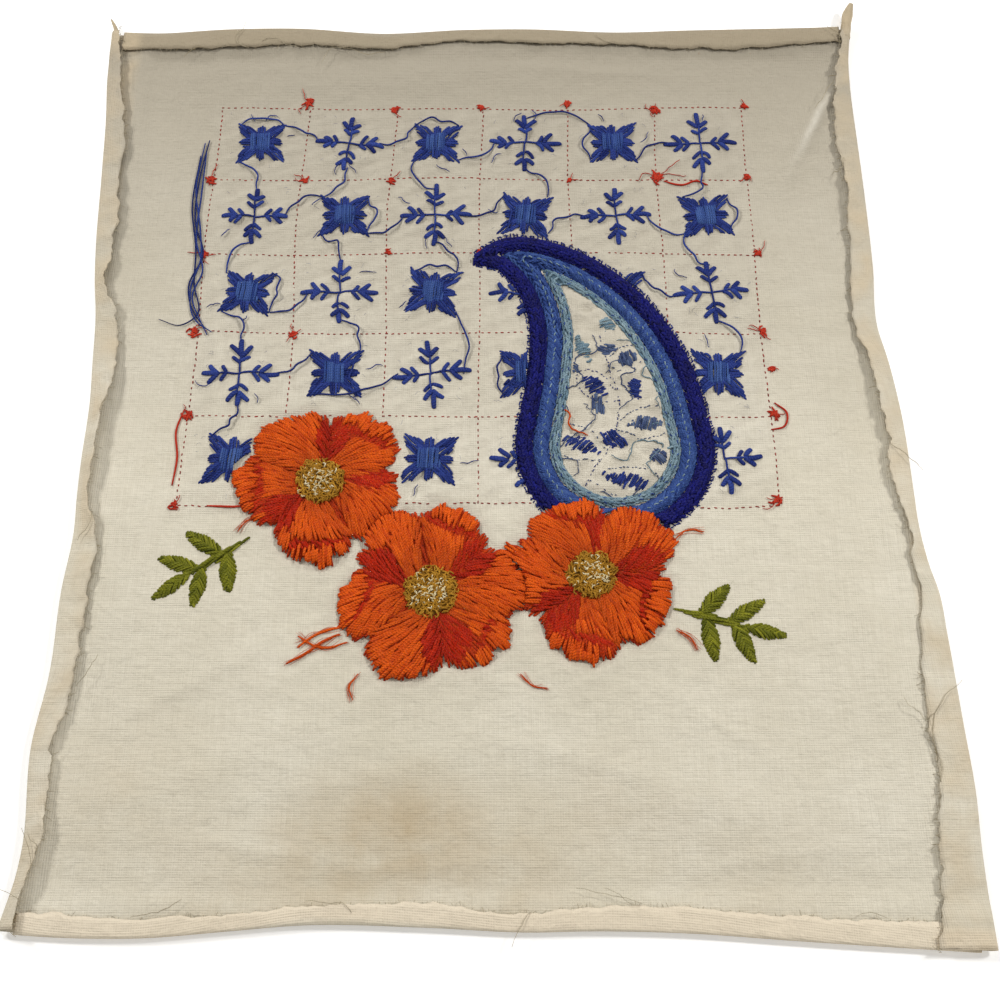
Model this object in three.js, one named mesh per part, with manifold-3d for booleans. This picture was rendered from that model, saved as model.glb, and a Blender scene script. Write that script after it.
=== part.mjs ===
// An unframed embroidered picture: a linen sheet that lies on a table with its four raw edges
// turned over towards the viewer, and the raised embroidery worked on it.
// Millimetres, +Z up, +X to the right, +Y away from the viewer. The origin is on the table, under
// the middle of the sheet.

import * as THREE from "three";
import Module from "manifold-3d";

const wasm = await Module();
wasm.setup();

// Driving dimensions of the linen
const LINEN = 1.0; // thickness of the sheet
const SEAT = 0.55; // gap between the linen and the stitched pads on it
const TURN = 1.0; // middle radius of the bend where an edge is turned over
const CORNER_TURN = 1.9; // the same near a corner, where a side flap lies over a hem
const CORNER_REACH = 26; // how far from each end of the sheet the side flaps lie over the hems
const TUCK = 4; // the hems' ends start this far inside the side folds
const HEM_LIFT = 2.7; // height of the hems' raw edges

// Left side: fold line, raw edge of the flap and its height, from the far end to the near end
const LEFT_SIDE = [
  { y: 256, fold: -226, raw: -221, lift: 6 },
  { y: 222, fold: -225, raw: -217, lift: 7 },
  { y: 190, fold: -222, raw: -210.5, lift: 7 },
  { y: 150, fold: -219.5, raw: -208, lift: 7 },
  { y: 94, fold: -216, raw: -206.5, lift: 7 },
  { y: 76, fold: -214, raw: -207.5, lift: 8 },
  { y: 60, fold: -211.5, raw: -201.5, lift: 6 },
  { y: 27, fold: -209, raw: -195.5, lift: 6 },
  { y: 5, fold: -207.5, raw: -199, lift: 8 },
  { y: -33, fold: -207.5, raw: -200.5, lift: 8 },
  { y: -52, fold: -207, raw: -201.5, lift: 8 },
  { y: -69, fold: -206, raw: -194.5, lift: 6 },
  { y: -102, fold: -208, raw: -195, lift: 5 },
  { y: -145, fold: -208, raw: -196, lift: 4 },
  { y: -179, fold: -211.5, raw: -201, lift: 5 },
  { y: -229, fold: -209, raw: -201, lift: 7 },
  { y: -243, fold: -210.5, raw: -204.5, lift: 8 },
  { y: -263, fold: -214.5, raw: -207, lift: 8 },
];

// Right side, in the same order
const RIGHT_SIDE = [
  { y: 259, fold: 221, raw: 216.5, lift: 6 },
  { y: 235, fold: 217, raw: 211, lift: 6 },
  { y: 202, fold: 215, raw: 204.5, lift: 7 },
  { y: 185, fold: 215, raw: 203, lift: 5 },
  { y: 140, fold: 215, raw: 205, lift: 6 },
  { y: 86, fold: 214, raw: 201.5, lift: 5 },
  { y: 49, fold: 212, raw: 200, lift: 5 },
  { y: 31, fold: 215, raw: 204, lift: 6 },
  { y: 2, fold: 218, raw: 208, lift: 7 },
  { y: -48, fold: 219, raw: 210, lift: 6 },
  { y: -60, fold: 219, raw: 213, lift: 6 },
  { y: -85, fold: 221.5, raw: 214, lift: 5 },
  { y: -99, fold: 224.5, raw: 216, lift: 4 },
  { y: -120, fold: 225.5, raw: 212.5, lift: 4 },
  { y: -165, fold: 227, raw: 211, lift: 3.6 },
  { y: -195, fold: 228, raw: 211.5, lift: 5 },
  { y: -220, fold: 227, raw: 207.5, lift: 5 },
  { y: -247, fold: 227, raw: 205, lift: 5 },
  { y: -268, fold: 227.5, raw: 200.5, lift: 5 },
];

// Far hem: fold line and raw edge, from left to right
const FAR_HEM = [
  { x: -224, fold: 255, raw: 241 },
  { x: -199, fold: 254, raw: 241 },
  { x: -154, fold: 257, raw: 242.5 },
  { x: -114, fold: 257.5, raw: 244.5 },
  { x: -62, fold: 253.5, raw: 241.5 },
  { x: -13, fold: 256.5, raw: 247.5 },
  { x: 24, fold: 257, raw: 246 },
  { x: 80, fold: 254.5, raw: 244.5 },
  { x: 119, fold: 256, raw: 241.5 },
  { x: 154, fold: 257, raw: 241.5 },
  { x: 188, fold: 258, raw: 245 },
  { x: 218, fold: 259.5, raw: 248 },
];

// Near hem, in the same order
const NEAR_HEM = [
  { x: -214, fold: -265, raw: -255.5 },
  { x: -191, fold: -266.5, raw: -257 },
  { x: -152, fold: -267, raw: -259 },
  { x: -112, fold: -264, raw: -257 },
  { x: -80, fold: -261.5, raw: -254 },
  { x: -24, fold: -262.5, raw: -252.5 },
  { x: 22, fold: -264.5, raw: -257 },
  { x: 47, fold: -264, raw: -254 },
  { x: 94, fold: -265, raw: -254.5 },
  { x: 138, fold: -268, raw: -258 },
  { x: 186, fold: -271, raw: -260 },
  { x: 228, fold: -273.5, raw: -262 },
];

// Soft swells that lift the sheet off the table: middle, direction in degrees from +X, half
// length, half width and height
const SWELLS = [
  { x: 184, y: 178, turn: 60, long: 40, wide: 13, high: 2.4 },
  { x: -30, y: 222, turn: 2, long: 120, wide: 15, high: 1.6 },
  { x: -184, y: 120, turn: 96, long: 62, wide: 14, high: 1.8 },
  { x: -182, y: -60, turn: 84, long: 60, wide: 15, high: 2.0 },
  { x: 186, y: 40, turn: 84, long: 60, wide: 14, high: 2.2 },
  { x: 188, y: -120, turn: 98, long: 54, wide: 14, high: 1.8 },
  { x: -120, y: -188, turn: 22, long: 60, wide: 20, high: 1.5 },
  { x: 100, y: -208, turn: -18, long: 56, wide: 18, high: 1.8 },
];
const SWELL_FLOOR = 0.05; // the share of a swell's height below which the sheet is flat

// The sheet rests on the corners of this rectangle. Between them its underside is level and a
// little higher, and its folded rim stands further off the table.
const REST = { left: -194, right: 199, near: -244, far: 234 };
const UNDERSIDE = { high: 0.2, slope: 1.2 };
const LEVEL = 0.002; // where the sheet is lower than this it is level, so all four corners touch
const RIM = { rise: 1.8, reach: 12 };

// How the sheet is divided across and along
const COLUMNS = 21; // even columns over the rectangle
const ROWS = 29; // even rows over it
const FLAP_SHARES = [0.36, 0.72, 1]; // columns of a side flap, from its bend to its raw edge
const HEM_SHARES = [0.5, 1];
const BEND_SHARES = [0.25, 0.5, 0.75, 1]; // steps round a bend, as shares of a half turn

// Lattice of running stitch that holds the small motifs
const LATTICE = { left: -156, far: 198, cell: 51, columns: 6, rows: 5 };
const MOTIF = { star: 18, sprig: 19, high: 1.2 };

const BLOSSOMS = [
  { name: "left", x: -84, y: -44, reach: 45, petals: 5, turn: 12 },
  { name: "middle", x: -26, y: -104, reach: 48, petals: 6, turn: 40 },
  { name: "right", x: 54, y: -95, reach: 45, petals: 5, turn: 75 },
];
// Heights of the petals, depth of their notches, and the room kept round the ones on top
const PETAL = { bed: 0.9, high: 2.5, rim: 0.8, notch: 0.2, clear: 0.5 };
const HEART = { share: 0.27, high: 2.1, rim: 0.8, gap: 0.55 };

// Spine of the large curled drop, from its round head to its tip
const DROP = [
  { x: 68, y: -24, r: 52 },
  { x: 67, y: 14, r: 45 },
  { x: 58, y: 50, r: 34 },
  { x: 38, y: 80, r: 22 },
  { x: 14, y: 95, r: 12 },
  { x: -6, y: 92, r: 3 },
];
const DROP_BANDS = [
  { name: "border", outer: 0, inner: 9, high: 2.2, colour: 0x17186e },
  { name: "middle_band", outer: 9.8, inner: 17, high: 1.6, colour: 0x2b4a94 },
  { name: "inner_band", outer: 18.2, inner: 23.5, high: 1.3, colour: 0x7f9fb8 },
];

// Green sprays: where the stem leaves a blossom and its direction in degrees from +X
const SPRAYS = [
  { name: "upper", x: -116, y: -74, turn: 214 },
  { name: "lower", x: 92, y: -112, turn: -16 },
];
// Leaves of a spray: distance along the stem, angle away from it, half length and half width
const SPRAY_LEAVES = [
  { along: 22, aside: 0, long: 22, wide: 2.2 },
  { along: 15, aside: 62, long: 13, wide: 4.6 },
  { along: 18, aside: -66, long: 13.5, wide: 4.6 },
  { along: 29, aside: 48, long: 13, wide: 4.2 },
  { along: 32, aside: -50, long: 12.5, wide: 4.4 },
  { along: 38, aside: 4, long: 12, wide: 4 },
];
const LEAF_JOIN = 2.6; // how far a leaf's foot reaches into the stem
const LEAF = { high: 1.7, rim: 0.6, point: 1.35, spokes: 14 };

// The pointed fold at the far left corner and the rolled tongue at the far right corner
const SPIKE = [
  { x: -223.5, y: 251, z: 2.6, r: 1.5 },
  { x: -224.8, y: 257.5, z: 3.2, r: 1.5 },
  { x: -228, y: 264.6, z: 4.2, r: 0.5 },
];
const TONGUE = [
  { x: 217, y: 250, z: 3.4, r: 3 },
  { x: 217.8, y: 260, z: 4.4, r: 3.6 },
  { x: 219.6, y: 267, z: 6, r: 3.3 },
  { x: 221.6, y: 273, z: 8, r: 1.6 },
];
const HORN_SIDES = 8;

const COLOURS = {
  linen: 0xcdc4a8,
  petal: 0xd9541c,
  heart: 0xa98a3c,
  leaf: 0x77821f,
  blue: 0x27348f,
};

const { lerp, degToRad, clamp, smoothstep } = THREE.MathUtils;

// A table's named column at a place between its rows
function along(rows, key, place, column) {
  const ordered = [...rows].sort((a, b) => a[key] - b[key]);
  const last = ordered.length - 1;
  const next = clamp(ordered.findIndex((row) => row[key] >= place), 1, last);
  const above = place > ordered[last][key] ? last : next;
  const [low, high] = [ordered[above - 1], ordered[above]];
  const share = clamp((place - low[key]) / (high[key] - low[key]), 0, 1);
  return lerp(low[column], high[column], share);
}

// How far the sheet's underside lies above the table at a point
function swell(x, y) {
  let lift = 0;
  for (const { x: midX, y: midY, turn, long, wide, high } of SWELLS) {
    const [cos, sin] = [Math.cos(degToRad(turn)), Math.sin(degToRad(turn))];
    const forward = ((x - midX) * cos + (y - midY) * sin) / long;
    const aside = ((y - midY) * cos - (x - midX) * sin) / wide;
    const share = Math.exp(-forward * forward - aside * aside) - SWELL_FLOOR;
    lift += high * Math.max(0, share);
  }
  const outX = Math.max(REST.left - x, x - REST.right, 0);
  const outY = Math.max(REST.near - y, y - REST.far, 0);
  const acrossShare = 2 * clamp((x - REST.left) / (REST.right - REST.left), 0, 1) - 1;
  const alongShare = 2 * clamp((y - REST.near) / (REST.far - REST.near), 0, 1) - 1;
  const fromCorner = UNDERSIDE.slope * (1 - (acrossShare * alongShare) ** 2);
  const underside = Math.min(fromCorner, UNDERSIDE.high);
  return lift + underside + RIM.rise * smoothstep(Math.hypot(outX, outY), 0, RIM.reach);
}

// Height of the underside of a pad that is stitched on the linen
function stitchBed(x, y) {
  return swell(x, y) + LINEN + SEAT;
}

function toSolid(positions, triangles) {
  const mesh = new wasm.Mesh({
    numProp: 3,
    vertProperties: new Float32Array(positions.flat()),
    triVerts: new Uint32Array(triangles.flat()),
  });
  return new wasm.Manifold(mesh);
}

function toGeometry(solid) {
  const mesh = solid.getMesh();
  const geometry = new THREE.BufferGeometry();
  const points = new THREE.BufferAttribute(new Float32Array(mesh.vertProperties), 3);
  geometry.setAttribute("position", points);
  geometry.setIndex(new THREE.BufferAttribute(new Uint32Array(mesh.triVerts), 1));
  return geometry;
}

const picture = new THREE.Group();

function addMesh(name, solid, color, roughness = 0.95) {
  const material = new THREE.MeshStandardMaterial({ color, roughness, metalness: 0 });
  const mesh = new THREE.Mesh(toGeometry(solid), material);
  mesh.name = name;
  picture.add(mesh);
}

// A side flap's position across the sheet: inward is +1 on the left side and -1 on the right
function sidePoint(side, inward, y, part, share) {
  const [fold, raw] = [along(side, "y", y, "fold"), along(side, "y", y, "raw")];
  const rise = along(side, "y", y, "lift");
  const turn = sideTurn(y);
  const axis = fold + inward * turn;
  const low = LINEN / 2 + swell(axis, y);
  if (part === "bend") {
    const angle = share * Math.PI;
    const x = axis - inward * turn * Math.sin(angle);
    return { x, z: low + turn * (1 - Math.cos(angle)) };
  }
  const start = low + 2 * turn;
  return { x: lerp(axis, raw, share), z: lerp(start, Math.max(rise, start), share) };
}

// The bend is wider near the ends, where the side flap goes over a hem
function sideTurn(y) {
  const half = (FAR_HEM[0].fold - NEAR_HEM[0].fold) / 2;
  const middle = (FAR_HEM[0].fold + NEAR_HEM[0].fold) / 2;
  const near = smoothstep(Math.abs(y - middle), half - CORNER_REACH, half - CORNER_REACH / 2);
  return lerp(TURN, CORNER_TURN, near);
}

// Columns across the sheet, from the left raw edge over the fold to the right raw edge
function columnsAcross() {
  const left = FLAP_SHARES.map((share) => ({ part: "flap", side: "left", share })).reverse();
  const leftBend = BEND_SHARES.map((share) => ({ part: "bend", side: "left", share })).reverse();
  const base = [{ part: "base", fromLow: 0 }, { part: "base", fromLow: TUCK }];
  base.push({ part: "base", rim: "low" });
  for (let column = 0; column <= COLUMNS; column++) {
    base.push({ part: "base", share: column / COLUMNS });
  }
  base.push({ part: "base", rim: "high" });
  base.push({ part: "base", fromHigh: TUCK }, { part: "base", fromHigh: 0 });
  const rightBend = BEND_SHARES.map((share) => ({ part: "bend", side: "right", share }));
  const right = FLAP_SHARES.map((share) => ({ part: "flap", side: "right", share }));
  return [...left, ...leftBend, ...base, ...rightBend, ...right];
}

// Rows along the sheet, from the near hem's raw edge to the far hem's raw edge
function rowsAlong() {
  const near = HEM_SHARES.map((share) => ({ part: "flap", end: "near", share })).reverse();
  const nearBend = BEND_SHARES.map((share) => ({ part: "bend", end: "near", share })).reverse();
  const base = [{ part: "base", fromLow: 0 }, { part: "base", fromLow: TUCK }];
  base.push({ part: "base", rim: "low" });
  for (let row = 0; row <= ROWS; row++) base.push({ part: "base", share: row / ROWS });
  base.push({ part: "base", rim: "high" });
  base.push({ part: "base", fromHigh: TUCK }, { part: "base", fromHigh: 0 });
  const farBend = BEND_SHARES.map((share) => ({ part: "bend", end: "far", share }));
  const far = HEM_SHARES.map((share) => ({ part: "flap", end: "far", share }));
  return [...near, ...nearBend, ...base, ...farBend, ...far];
}

// A step's place between two folds: a distance from a fold, a share of the rectangle, or
// half way over the rim between them
function between(step, low, high, restLow, restHigh) {
  if (step.fromLow !== undefined) return low + step.fromLow;
  if (step.fromHigh !== undefined) return high - step.fromHigh;
  if (step.rim === "low") return (low + TUCK + restLow) / 2;
  if (step.rim === "high") return (high - TUCK + restHigh) / 2;
  return lerp(restLow, restHigh, step.share);
}

function baseX(column, y) {
  const low = along(LEFT_SIDE, "y", y, "fold") + sideTurn(y);
  const high = along(RIGHT_SIDE, "y", y, "fold") - sideTurn(y);
  return between(column, low, high, REST.left, REST.right);
}

function baseY(row, x) {
  const low = along(NEAR_HEM, "x", x, "fold") + TURN;
  const high = along(FAR_HEM, "x", x, "fold") - TURN;
  return between(row, low, high, REST.near, REST.far);
}

// Middle surface of the sheet at a column and a row
function sheetPoint(column, row) {
  const roughY = baseY(row.part === "base" ? row : endRow(row), 0);
  if (column.part !== "base") {
    const side = column.side === "left" ? LEFT_SIDE : RIGHT_SIDE;
    const inward = column.side === "left" ? 1 : -1;
    const at = sidePoint(side, inward, roughY, column.part, column.share);
    const y = baseY(row, along(side, "y", roughY, "fold"));
    return new THREE.Vector3(at.x, y, at.z);
  }
  const x = baseX(column, roughY);
  if (row.part === "base") {
    const y = baseY(row, x);
    return new THREE.Vector3(x, y, LINEN / 2 + swell(x, y));
  }
  return hemPoint(x, row);
}

function endRow(row) {
  return row.end === "near" ? { fromLow: 0 } : { fromHigh: 0 };
}

function hemPoint(x, row) {
  const hem = row.end === "near" ? NEAR_HEM : FAR_HEM;
  const outward = row.end === "near" ? -1 : 1;
  const axis = along(hem, "x", x, "fold") - outward * TURN;
  const low = LINEN / 2 + swell(x, axis);
  if (row.part === "bend") {
    const angle = row.share * Math.PI;
    const y = axis + outward * TURN * Math.sin(angle);
    return new THREE.Vector3(x, y, low + TURN * (1 - Math.cos(angle)));
  }
  const y = lerp(axis, along(hem, "x", x, "raw"), row.share);
  const z = lerp(low + 2 * TURN, low + HEM_LIFT - LINEN / 2, row.share);
  return new THREE.Vector3(x, y, z);
}

// The hems leave out the columns of the side folds, so that their ends are tucked in
function isSheet(column, row) {
  if (row.part === "base") return true;
  return column.part === "base" && column.fromLow !== 0 && column.fromHigh !== 0;
}

function buildSheet() {
  const [columns, rows] = [columnsAcross(), rowsAlong()];
  const kept = columns.map((column) => rows.map((row) => isSheet(column, row)));
  const middle = columns.map((column) => rows.map((row) => sheetPoint(column, row)));
  const has = (i, j) => kept[i] !== undefined && kept[i][j] === true;
  const step = (i, j, di, dj) => (has(i + di, j + dj) ? middle[i + di][j + dj] : middle[i][j]);
  const positions = [];
  const front = columns.map(() => []);
  for (let i = 0; i < columns.length; i++) {
    for (let j = 0; j < rows.length; j++) {
      if (!has(i, j)) continue;
      const acrossWay = step(i, j, 1, 0).clone().sub(step(i, j, -1, 0));
      const alongWay = step(i, j, 0, 1).clone().sub(step(i, j, 0, -1));
      const rests = middle[i][j].z - LINEN / 2 < LEVEL;
      const normal = rests ? new THREE.Vector3(0, 0, 1) : acrossWay.cross(alongWay).normalize();
      normal.multiplyScalar(LINEN / 2);
      front[i][j] = positions.length;
      positions.push(middle[i][j].clone().add(normal).toArray());
      positions.push(middle[i][j].clone().sub(normal).toArray());
    }
  }
  const triangles = [];
  const quad = (a, b, c, d) => triangles.push([a, b, c], [a, c, d]);
  const hasCell = (i, j) => has(i, j) && has(i + 1, j) && has(i, j + 1) && has(i + 1, j + 1);
  for (let i = 0; i < columns.length - 1; i++) {
    for (let j = 0; j < rows.length - 1; j++) {
      if (!hasCell(i, j)) continue;
      const corners = [front[i][j], front[i + 1][j], front[i + 1][j + 1], front[i][j + 1]];
      quad(...corners);
      quad(...corners.map((corner) => corner + 1).reverse());
      const neighbours = [[i, j - 1], [i + 1, j], [i, j + 1], [i - 1, j]];
      neighbours.forEach(([nextI, nextJ], side) => {
        if (nextI >= 0 && nextJ >= 0 && hasCell(nextI, nextJ)) return;
        const [from, to] = [corners[side], corners[(side + 1) % corners.length]];
        quad(to, from, from + 1, to + 1);
      });
    }
  }
  return toSolid(positions, triangles);
}

// A closed tapering horn through the rows of a table
function buildHorn(rows) {
  const positions = [];
  const triangles = [];
  rows.forEach((row, index) => {
    const [before, after] = [rows[Math.max(index - 1, 0)], rows[Math.min(index + 1, rows.length - 1)]];
    const way = new THREE.Vector3(after.x - before.x, after.y - before.y, after.z - before.z);
    way.normalize();
    const aside = new THREE.Vector3(0, 0, 1).cross(way).normalize();
    const upward = way.clone().cross(aside);
    for (let side = 0; side < HORN_SIDES; side++) {
      const angle = (2 * Math.PI * side) / HORN_SIDES;
      const point = new THREE.Vector3(row.x, row.y, row.z);
      point.addScaledVector(aside, row.r * Math.cos(angle));
      point.addScaledVector(upward, row.r * Math.sin(angle));
      positions.push(point.toArray());
    }
  });
  for (let index = 0; index < rows.length - 1; index++) {
    for (let side = 0; side < HORN_SIDES; side++) {
      const next = (side + 1) % HORN_SIDES;
      const [a, b] = [index * HORN_SIDES + side, index * HORN_SIDES + next];
      triangles.push([a, b, b + HORN_SIDES], [a, b + HORN_SIDES, a + HORN_SIDES]);
    }
  }
  const last = (rows.length - 1) * HORN_SIDES;
  for (let side = 1; side < HORN_SIDES - 1; side++) {
    triangles.push([0, side + 1, side]);
    triangles.push([last, last + side, last + side + 1]);
  }
  return toSolid(positions, triangles);
}

// A low pad round a middle: reach gives its outline, crown its height at a share of that reach,
// and turn is the direction of its first spoke in degrees
function buildPad(pad) {
  const { x, y, turn = 0, spokes, shares, reach, crown, bed = stitchBed, under = [1] } = pad;
  const positions = [];
  const triangles = [];
  const addDisc = (ringShares, height, facesUp) => {
    const start = positions.length;
    positions.push([x, y, bed(x, y) + height(0, 0)]);
    for (const share of ringShares) {
      for (let spoke = 0; spoke < spokes; spoke++) {
        const angle = degToRad(turn) + (2 * Math.PI * spoke) / spokes;
        const radius = share * reach(angle);
        const [atX, atY] = [x + radius * Math.cos(angle), y + radius * Math.sin(angle)];
        positions.push([atX, atY, bed(atX, atY) + height(share, angle)]);
      }
    }
    const add = (a, b, c) => triangles.push(facesUp ? [a, b, c] : [a, c, b]);
    for (let spoke = 0; spoke < spokes; spoke++) {
      const next = (spoke + 1) % spokes;
      add(start, start + 1 + spoke, start + 1 + next);
      for (let ring = 1; ring < ringShares.length; ring++) {
        const inner = start + 1 + (ring - 1) * spokes;
        const outer = inner + spokes;
        add(inner + spoke, outer + spoke, outer + next);
        add(inner + spoke, outer + next, inner + next);
      }
    }
    return start + 1 + (ringShares.length - 1) * spokes;
  };
  const topRim = addDisc(shares, crown, true);
  const underRim = addDisc(under, () => 0, false);
  for (let spoke = 0; spoke < spokes; spoke++) {
    const next = (spoke + 1) % spokes;
    triangles.push([underRim + spoke, underRim + next, topRim + next]);
    triangles.push([underRim + spoke, topRim + next, topRim + spoke]);
  }
  return toSolid(positions, triangles);
}

// Depth of a petal's crown at an angle: 0 in the seam between two petals, 1 along its middle
function petalSwell(blossom, angle) {
  const wave = Math.abs(Math.sin((blossom.petals * (angle - degToRad(blossom.turn))) / 2));
  return Math.sqrt(wave);
}

function blossomReach(blossom, angle, margin = 0) {
  const uneven = 1 + 0.06 * Math.sin(3 * angle + blossom.turn);
  const notch = 1 - PETAL.notch * (1 - petalSwell(blossom, angle));
  return blossom.reach * uneven * notch + margin;
}

function blossomCrown(blossom, share, angle) {
  if (share <= HEART.share + 0.03) return PETAL.bed;
  const arch = Math.sin(Math.PI * (share - HEART.share) / (1.06 - HEART.share));
  const low = lerp(PETAL.bed, PETAL.rim, share);
  return low + (PETAL.high - low) * arch * petalSwell(blossom, angle);
}

function buildBlossom(blossom, margin = 0) {
  const tall = margin > 0;
  return buildPad({
    x: blossom.x,
    y: blossom.y,
    turn: blossom.turn,
    spokes: 8 * blossom.petals,
    shares: [HEART.share + 0.03, 0.5, 0.72, 0.9, 1],
    reach: (angle) => blossomReach(blossom, angle, margin),
    crown: (share, angle) => (tall ? 2 * PETAL.high : blossomCrown(blossom, share, angle)),
    bed: tall ? (x, y) => swell(x, y) + LINEN / 2 : stitchBed,
    under: [0.5, 1],
  });
}

function buildHeart(blossom) {
  const radius = HEART.share * blossom.reach;
  return buildPad({
    x: blossom.x,
    y: blossom.y,
    spokes: 16,
    shares: [0.45, 0.8, 1],
    reach: (angle) => radius * (1 + 0.05 * Math.sin(3 * angle)),
    crown: (share) => lerp(HEART.high, HEART.rim, share * share),
    bed: (x, y) => stitchBed(x, y) + PETAL.bed + HEART.gap,
  });
}

// The drop's spine as a smooth curve with its radius
const dropSpine = new THREE.CatmullRomCurve3(
  DROP.map(({ x, y, r }) => new THREE.Vector3(x, y, r)),
);

function dropStation(share) {
  const here = dropSpine.getPoint(share);
  const way = dropSpine.getTangent(share);
  const heading = new THREE.Vector2(way.x, way.y).normalize();
  return { x: here.x, y: here.y, r: here.z, heading };
}

// Share of the spine where the drop is still wider than a margin on each side
function dropReach(margin) {
  let share = 1;
  while (share > 0 && dropStation(share).r < margin + 1) share -= 0.01;
  return share;
}

const DROP_SIDE = 13; // stations along each side of the drop
const DROP_HEAD = 9; // stations round its head

// The drop's outline moved inwards by a margin, one way round
function dropOutline(margin) {
  const full = dropReach(margin);
  const points = [];
  const push = (station, angle) => {
    const turned = station.heading.clone().rotateAround(new THREE.Vector2(), angle);
    const radius = Math.max(station.r - margin, 0.4);
    points.push({ x: station.x + radius * turned.x, y: station.y + radius * turned.y });
  };
  for (let i = 0; i <= DROP_SIDE; i++) push(dropStation((full * i) / DROP_SIDE), -Math.PI / 2);
  for (let i = DROP_SIDE; i >= 0; i--) push(dropStation((full * i) / DROP_SIDE), Math.PI / 2);
  for (let i = 1; i <= DROP_HEAD; i++) {
    push(dropStation(0), Math.PI / 2 + (Math.PI * i) / (DROP_HEAD + 1));
  }
  return points;
}

function buildBand({ outer, inner, high }) {
  const section = [
    { across: 0, height: 0 },
    { across: 0.12, height: 0.75 },
    { across: 0.5, height: 1 },
    { across: 0.88, height: 0.75 },
    { across: 1, height: 0 },
  ];
  const [outside, inside] = [dropOutline(outer), dropOutline(inner)];
  const count = section.length;
  const positions = [];
  const triangles = [];
  outside.forEach((rim, index) => {
    for (const { across, height } of section) {
      const x = lerp(rim.x, inside[index].x, across);
      const y = lerp(rim.y, inside[index].y, across);
      positions.push([x, y, stitchBed(x, y) + high * height]);
    }
    const next = (index + 1) % outside.length;
    for (let corner = 0; corner < count; corner++) {
      const after = (corner + 1) % count;
      const [a, b] = [index * count + corner, index * count + after];
      const [c, d] = [next * count + after, next * count + corner];
      triangles.push([a, d, c], [a, c, b]);
    }
  });
  return toSolid(positions, triangles);
}

// The part of a solid that shows beside what is stitched over it
function largestPiece(solid) {
  const pieces = solid.decompose();
  pieces.sort((a, b) => b.volume() - a.volume());
  return pieces[0];
}

function buildLeaf({ x, y, turn, long, wide }) {
  const heading = degToRad(turn);
  const outline = (angle) => {
    const forward = Math.abs(Math.cos(angle - heading) / long);
    const aside = Math.abs(Math.sin(angle - heading) / wide);
    return (forward ** LEAF.point + aside ** LEAF.point) ** (-1 / LEAF.point);
  };
  return buildPad({
    x,
    y,
    turn,
    spokes: LEAF.spokes,
    shares: [0.55, 1],
    reach: outline,
    crown: (share) => lerp(LEAF.high, LEAF.rim, share * share),
  });
}

function buildMotif({ x, y, kind }) {
  const starReach = (angle) => MOTIF.star * lerp(0.5, 1, Math.abs(Math.cos(4 * angle)) ** 3);
  const sprigReach = (angle) => MOTIF.sprig * lerp(0.25, 1, Math.abs(Math.cos(2 * angle)) ** 2);
  return buildPad({
    x,
    y,
    spokes: kind === "star" ? 16 : 24,
    shares: [0.5, 1],
    reach: kind === "star" ? starReach : sprigReach,
    crown: (share) => lerp(MOTIF.high, MOTIF.high * 0.6, share),
  });
}

// A spray's leaves as middles and directions on the linen; the first is the stem
function sprayLeaves(spray) {
  return SPRAY_LEAVES.map(({ along: distance, aside, long, wide }) => {
    const [stemway, leafway] = [degToRad(spray.turn), degToRad(spray.turn + aside)];
    const onStem = aside === 0 ? 0 : long - LEAF_JOIN;
    return {
      x: spray.x + distance * Math.cos(stemway) + onStem * Math.cos(leafway),
      y: spray.y + distance * Math.sin(stemway) + onStem * Math.sin(leafway),
      turn: spray.turn + aside,
      long,
      wide,
    };
  });
}

// Whether larger embroidery covers a point
function isCovered(x, y) {
  const margin = 2;
  for (const blossom of BLOSSOMS) {
    const [awayX, awayY] = [x - blossom.x, y - blossom.y];
    const reach = blossomReach(blossom, Math.atan2(awayY, awayX), margin);
    if (Math.hypot(awayX, awayY) < reach) return true;
  }
  for (let share = 0; share <= 1; share += 0.04) {
    const station = dropStation(share);
    if (Math.hypot(x - station.x, y - station.y) < station.r + margin) return true;
  }
  return SPRAYS.flatMap(sprayLeaves).some((leaf) => Math.hypot(x - leaf.x, y - leaf.y) < leaf.long + margin);
}

function isClear({ x, y }) {
  const reach = Math.max(MOTIF.star, MOTIF.sprig);
  for (let step = 0; step < 16; step++) {
    const angle = (Math.PI * step) / 8;
    if (isCovered(x + reach * Math.cos(angle), y + reach * Math.sin(angle))) return false;
  }
  return !isCovered(x, y);
}

function addLinen() {
  const sheet = buildSheet().add(buildHorn(SPIKE)).add(buildHorn(TONGUE));
  addMesh("linen", sheet, COLOURS.linen);
}

function addBlossoms() {
  const keepOut = new Map(BLOSSOMS.map((blossom) => [blossom.name, buildBlossom(blossom, PETAL.clear)]));
  for (const blossom of BLOSSOMS) {
    const solid = buildBlossom(blossom);
    const underMiddle = blossom.name !== "middle";
    const shown = underMiddle ? largestPiece(solid.subtract(keepOut.get("middle"))) : solid;
    addMesh(`blossom_${blossom.name}`, shown, COLOURS.petal, 0.8);
    addMesh(`heart_${blossom.name}`, buildHeart(blossom), COLOURS.heart);
  }
  return [...keepOut.values()];
}

function addDrop(keepOut) {
  for (const band of DROP_BANDS) {
    const shown = keepOut.reduce((solid, cut) => solid.subtract(cut), buildBand(band));
    addMesh(`drop_${band.name}`, largestPiece(shown), band.colour, 0.8);
  }
}

function addSprays(keepOut) {
  for (const spray of SPRAYS) {
    const leaves = sprayLeaves(spray).map(buildLeaf).reduce((whole, leaf) => whole.add(leaf));
    const shown = keepOut.reduce((solid, cut) => solid.subtract(cut), leaves);
    addMesh(`leaves_${spray.name}`, largestPiece(shown), COLOURS.leaf, 0.8);
  }
}

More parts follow.
